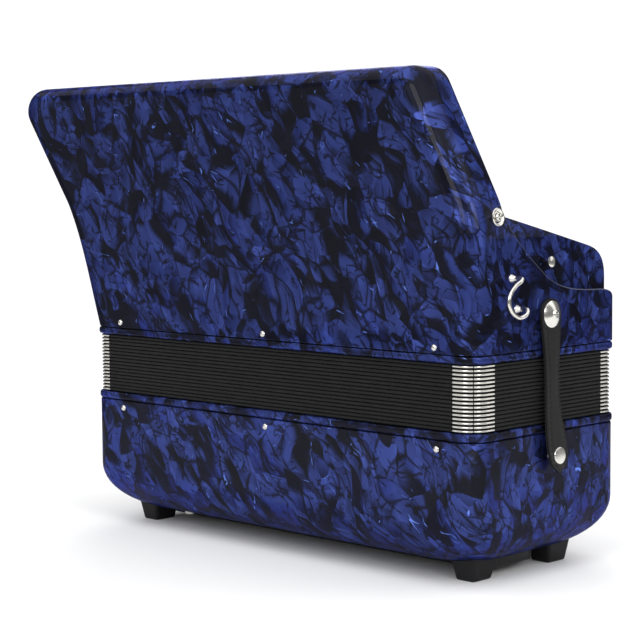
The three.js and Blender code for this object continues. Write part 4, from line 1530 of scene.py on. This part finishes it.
def make_bass_keys():
    """The bass plate in its well, its felt bushes, and six rows of white buttons."""
    low = WELL_TOP + 0.3
    middle = ((WELL_LOW[0] + WELL_HIGH[0]) / 2, (WELL_LOW[1] + WELL_HIGH[1]) / 2 + 0.5)
    outline = rounded_rectangle(186, 31.5, 3, 4)
    plate = make_object("bass_plate", *upright_loft(outline, low, low + 3, middle), MATERIALS["acrylic"])
    soften(plate, 0.4, 2)
    ride(plate, "bass_side", "black_plate", "bass_button_plate")
    bush = turned("bush", [(0, 0.4), (3.9, 0.4), (4.3, 0.1), (4.3, -0.4), (0, -0.4)], MATERIALS["felt"], 14)
    spots = [(x, y, low, 0) for row in range(BASS_ROWS) for x, y, _, _ in bass_spots(row)]
    bushes = scattered("bass_bushes", bush, spots, (0, 0, -1))
    ride(bushes, "bass_side", "bellows_cloth")
    profile = [
        (0, 9.5), (1.5, 9.4), (2.7, 8.8), (3.35, 7.8), (3.4, 6.5), (3.4, 0.3), (2.2, 0), (2.2, -8),
        (0, -8),
    ]
    for row in range(BASS_ROWS):
        key = turned("key", profile, MATERIALS["white"], 14)
        node = f"bass_button_row_{row + 1}"
        keys = scattered(f"bass_keys_{row + 1}", key, bass_spots(row), (0, 0, -1))
        ride(keys, node, "button_resin", node)
    profile = [(0, 20.5), (3, 20.2), (4.5, 19.2), (5, 17.6), (5, 6), (7, 6), (7, 5), (0, 5)]
    button = turned("air_key", profile, MATERIALS["white"], 32)
    stand(button, (*AIR_SPOT, 30), (0, 0, -1))
    ride(button, "air_button", "button_resin", "air_button")


class ACCORDION_OT_buttons(bpy.types.Operator):
    """Make the fingerboard and bass plates with their buttons"""

    bl_idname = "accordion.buttons"
    bl_label = "Buttons"

    def execute(self, context):
        make_treble_keys()
        make_bass_keys()
        return {"FINISHED"}


# ---- feet and insides --------------------------------------------------------------------
class ACCORDION_OT_feet(bpy.types.Operator):
    """Make the four rubber feet and their screws"""

    bl_idname = "accordion.feet"
    bl_label = "Feet"

    def execute(self, context):
        levels = ((0, 8.8, 10.8, 2.6), (0.5, 9.6, 11.6, 3), (1.6, 10.1, 12.1, 3), (19.6, 13, 15.5, 3.5))
        for end, side_x in (("near", -1), ("far", 1)):
            for face, side_y in (("back", 1), ("front", -1)):
                center = (side_x * 197, side_y * 50)
                rings = []
                for z, half_x, half_y, radius in levels:
                    outline = rounded_rectangle(half_x, half_y, radius, 5)
                    rings.append([(x + center[0], y + center[1], z) for x, y in outline])
                foot = make_object(f"rubber_foot_{end}_{face}", *loft(rings), MATERIALS["rubber"])
                hole = make_object("hole", *cylinder_along("z", center, -2, 5, 4.6, 28))
                carve(foot, ("DIFFERENCE", hole))
                shade(foot, 35)
                ride(foot, "bass_side", "rubber", f"foot_{end}_{face}")
                profile = [(0, 1.6), (2.4, 1.4), (3.9, 0.7), (4.2, 0), (4.2, -0.5), (0, -0.5)]
                make_fitting(
                    f"foot_screw_{end}_{face}", profile, 24, (*center, 5), (0, 0, -1),
                    "bass_side", cross=(1.6, 4.4, 1.1),
                )
        return {"FINISHED"}


class ACCORDION_OT_insides(bpy.types.Operator):
    """Give the wooden parts inside their finish"""

    bl_idname = "accordion.insides"
    bl_label = "Insides"

    def execute(self, context):
        for side in ("bass", "treble"):
            for part in ("soundboard", "reed_block"):
                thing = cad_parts[f"{side}_{part}"]
                thing.data.materials.clear()
                thing.data.materials.append(MATERIALS["spruce"])
        return {"FINISHED"}


# ---- stage -------------------------------------------------------------------------------
CAMERA_SPOT = (-1.1587, 1.1607, 0.3275)
CAMERA_RIGHT = (-0.71421, -0.69994, -0.00776)
CAMERA_UP = (0.05011, -0.06218, 0.99687)
CAMERA_BACK = (-0.69801, 0.71167, 0.07948)


def add_light(name, spot, aim, width, height, power):
    """A soft rectangular lamp aimed at a point."""
    lamp = bpy.data.lights.new(name, "AREA")
    lamp.shape = "RECTANGLE"
    lamp.size, lamp.size_y, lamp.energy = width, height, power
    thing = bpy.data.objects.new(name, lamp)
    thing.location = spot
    thing.rotation_euler = (Vector(aim) - Vector(spot)).to_track_quat("-Z", "Y").to_euler()
    bpy.context.scene.collection.objects.link(thing)


class ACCORDION_OT_stage(bpy.types.Operator):
    """Make the floor, the studio light and the camera"""

    bl_idname = "accordion.stage"
    bl_label = "Stage"

    def execute(self, context):
        scene = context.scene
        lens = bpy.data.cameras.new("camera")
        lens.lens, lens.sensor_width = 100.1, 36
        lens.clip_start, lens.clip_end = 0.05, 60
        camera = bpy.data.objects.new("camera", lens)
        columns = Matrix((CAMERA_RIGHT, CAMERA_UP, CAMERA_BACK)).transposed()
        camera.matrix_world = Matrix.Translation(CAMERA_SPOT) @ columns.to_4x4()
        scene.collection.objects.link(camera)
        scene.camera = camera

        half = 950
        corners = [(-half, -half, 0), (half, -half, 0), (half, half, 0), (-half, half, 0)]
        floor = make_object("floor", corners, [(0, 1, 2, 3)], MATERIALS["floor"], closed=False)

        aim = (0, 0, 0.22)
        sun = bpy.data.lights.new("sky", "SUN")
        sun.energy, sun.angle = 2.6, math.radians(110)
        scene.collection.objects.link(bpy.data.objects.new("sky", sun))
        add_light("left_lamp", (-0.6, 2.5, 1.25), aim, 0.9, 1.3, 24)
        add_light("right_lamp", (-2.5, 0.75, 1.35), aim, 0.9, 1.3, 24)
        add_light("far_lamp", (2.0, -2.2, 1.5), aim, 1.4, 1.4, 22)
        add_light("back_panel_lamp", (2.3, 2.3, 0.7), aim, 2.0, 1.6, 6)
        add_light("end_lamp", (-1.95, -1.75, 1.15), aim, 1.1, 1.6, 7)

        world = bpy.data.worlds.new("studio")
        world.use_nodes = True
        tree = world.node_tree
        tree.nodes.clear()
        seen = add_node(tree, "ShaderNodeLightPath").outputs["Is Camera Ray"]
        strength = add_node(
            tree, "ShaderNodeMapRange", {"Value": seen, "To Min": 0.22, "To Max": 1.1}
        )
        backdrop = add_node(
            tree, "ShaderNodeBackground",
            {"Color": (1, 1, 1, 1), "Strength": strength.outputs[0]},
        )
        add_node(tree, "ShaderNodeOutputWorld", {"Surface": backdrop.outputs[0]})
        scene.world = world
        scene.view_settings.view_transform = "Standard"
        return {"FINISHED"}


class ACCORDION_OT_materials(bpy.types.Operator):
    """Make every material, before the pieces that wear them"""

    bl_idname = "accordion.materials"
    bl_label = "Materials"

    def execute(self, context):
        make_materials(context.scene.accordion_finish)
        return {"FINISHED"}


class ACCORDION_PT_build(bpy.types.Panel):
    """Lists the steps that build the accordion, with its settings"""

    bl_idname = "ACCORDION_PT_build"
    bl_label = "Button accordion"
    bl_space_type = "VIEW_3D"
    bl_region_type = "UI"
    bl_category = "Accordion"

    def draw(self, context):
        for group in (context.scene.accordion_finish, context.scene.accordion_sizes):
            for key in group.__annotations__:
                self.layout.prop(group, key)
        for step in STEPS:
            self.layout.operator(step.bl_idname)


STEPS = (
    ACCORDION_OT_materials,
    ACCORDION_OT_stage,
    ACCORDION_OT_casings,
    ACCORDION_OT_bellows,
    ACCORDION_OT_cover,
    ACCORDION_OT_buttons,
    ACCORDION_OT_leather,
    ACCORDION_OT_fittings,
    ACCORDION_OT_feet,
    ACCORDION_OT_insides,
)
CLASSES = (AccordionFinish, AccordionSizes, ACCORDION_PT_build, *STEPS)


def register():
    for made in CLASSES:
        bpy.utils.register_class(made)
    bpy.types.Scene.accordion_finish = bpy.props.PointerProperty(type=AccordionFinish)
    bpy.types.Scene.accordion_sizes = bpy.props.PointerProperty(type=AccordionSizes)


def unregister():
    del bpy.types.Scene.accordion_finish
    del bpy.types.Scene.accordion_sizes
    for made in reversed(CLASSES):
        bpy.utils.unregister_class(made)


def main():
    register()
    bpy.ops.accordion.materials()
    bpy.ops.accordion.stage()
    bpy.ops.accordion.casings()
    bpy.ops.accordion.bellows()
    bpy.ops.accordion.cover()
    bpy.ops.accordion.buttons()
    bpy.ops.accordion.leather()
    bpy.ops.accordion.fittings()
    bpy.ops.accordion.feet()
    bpy.ops.accordion.insides()


if __name__ == "__main__":
    main()
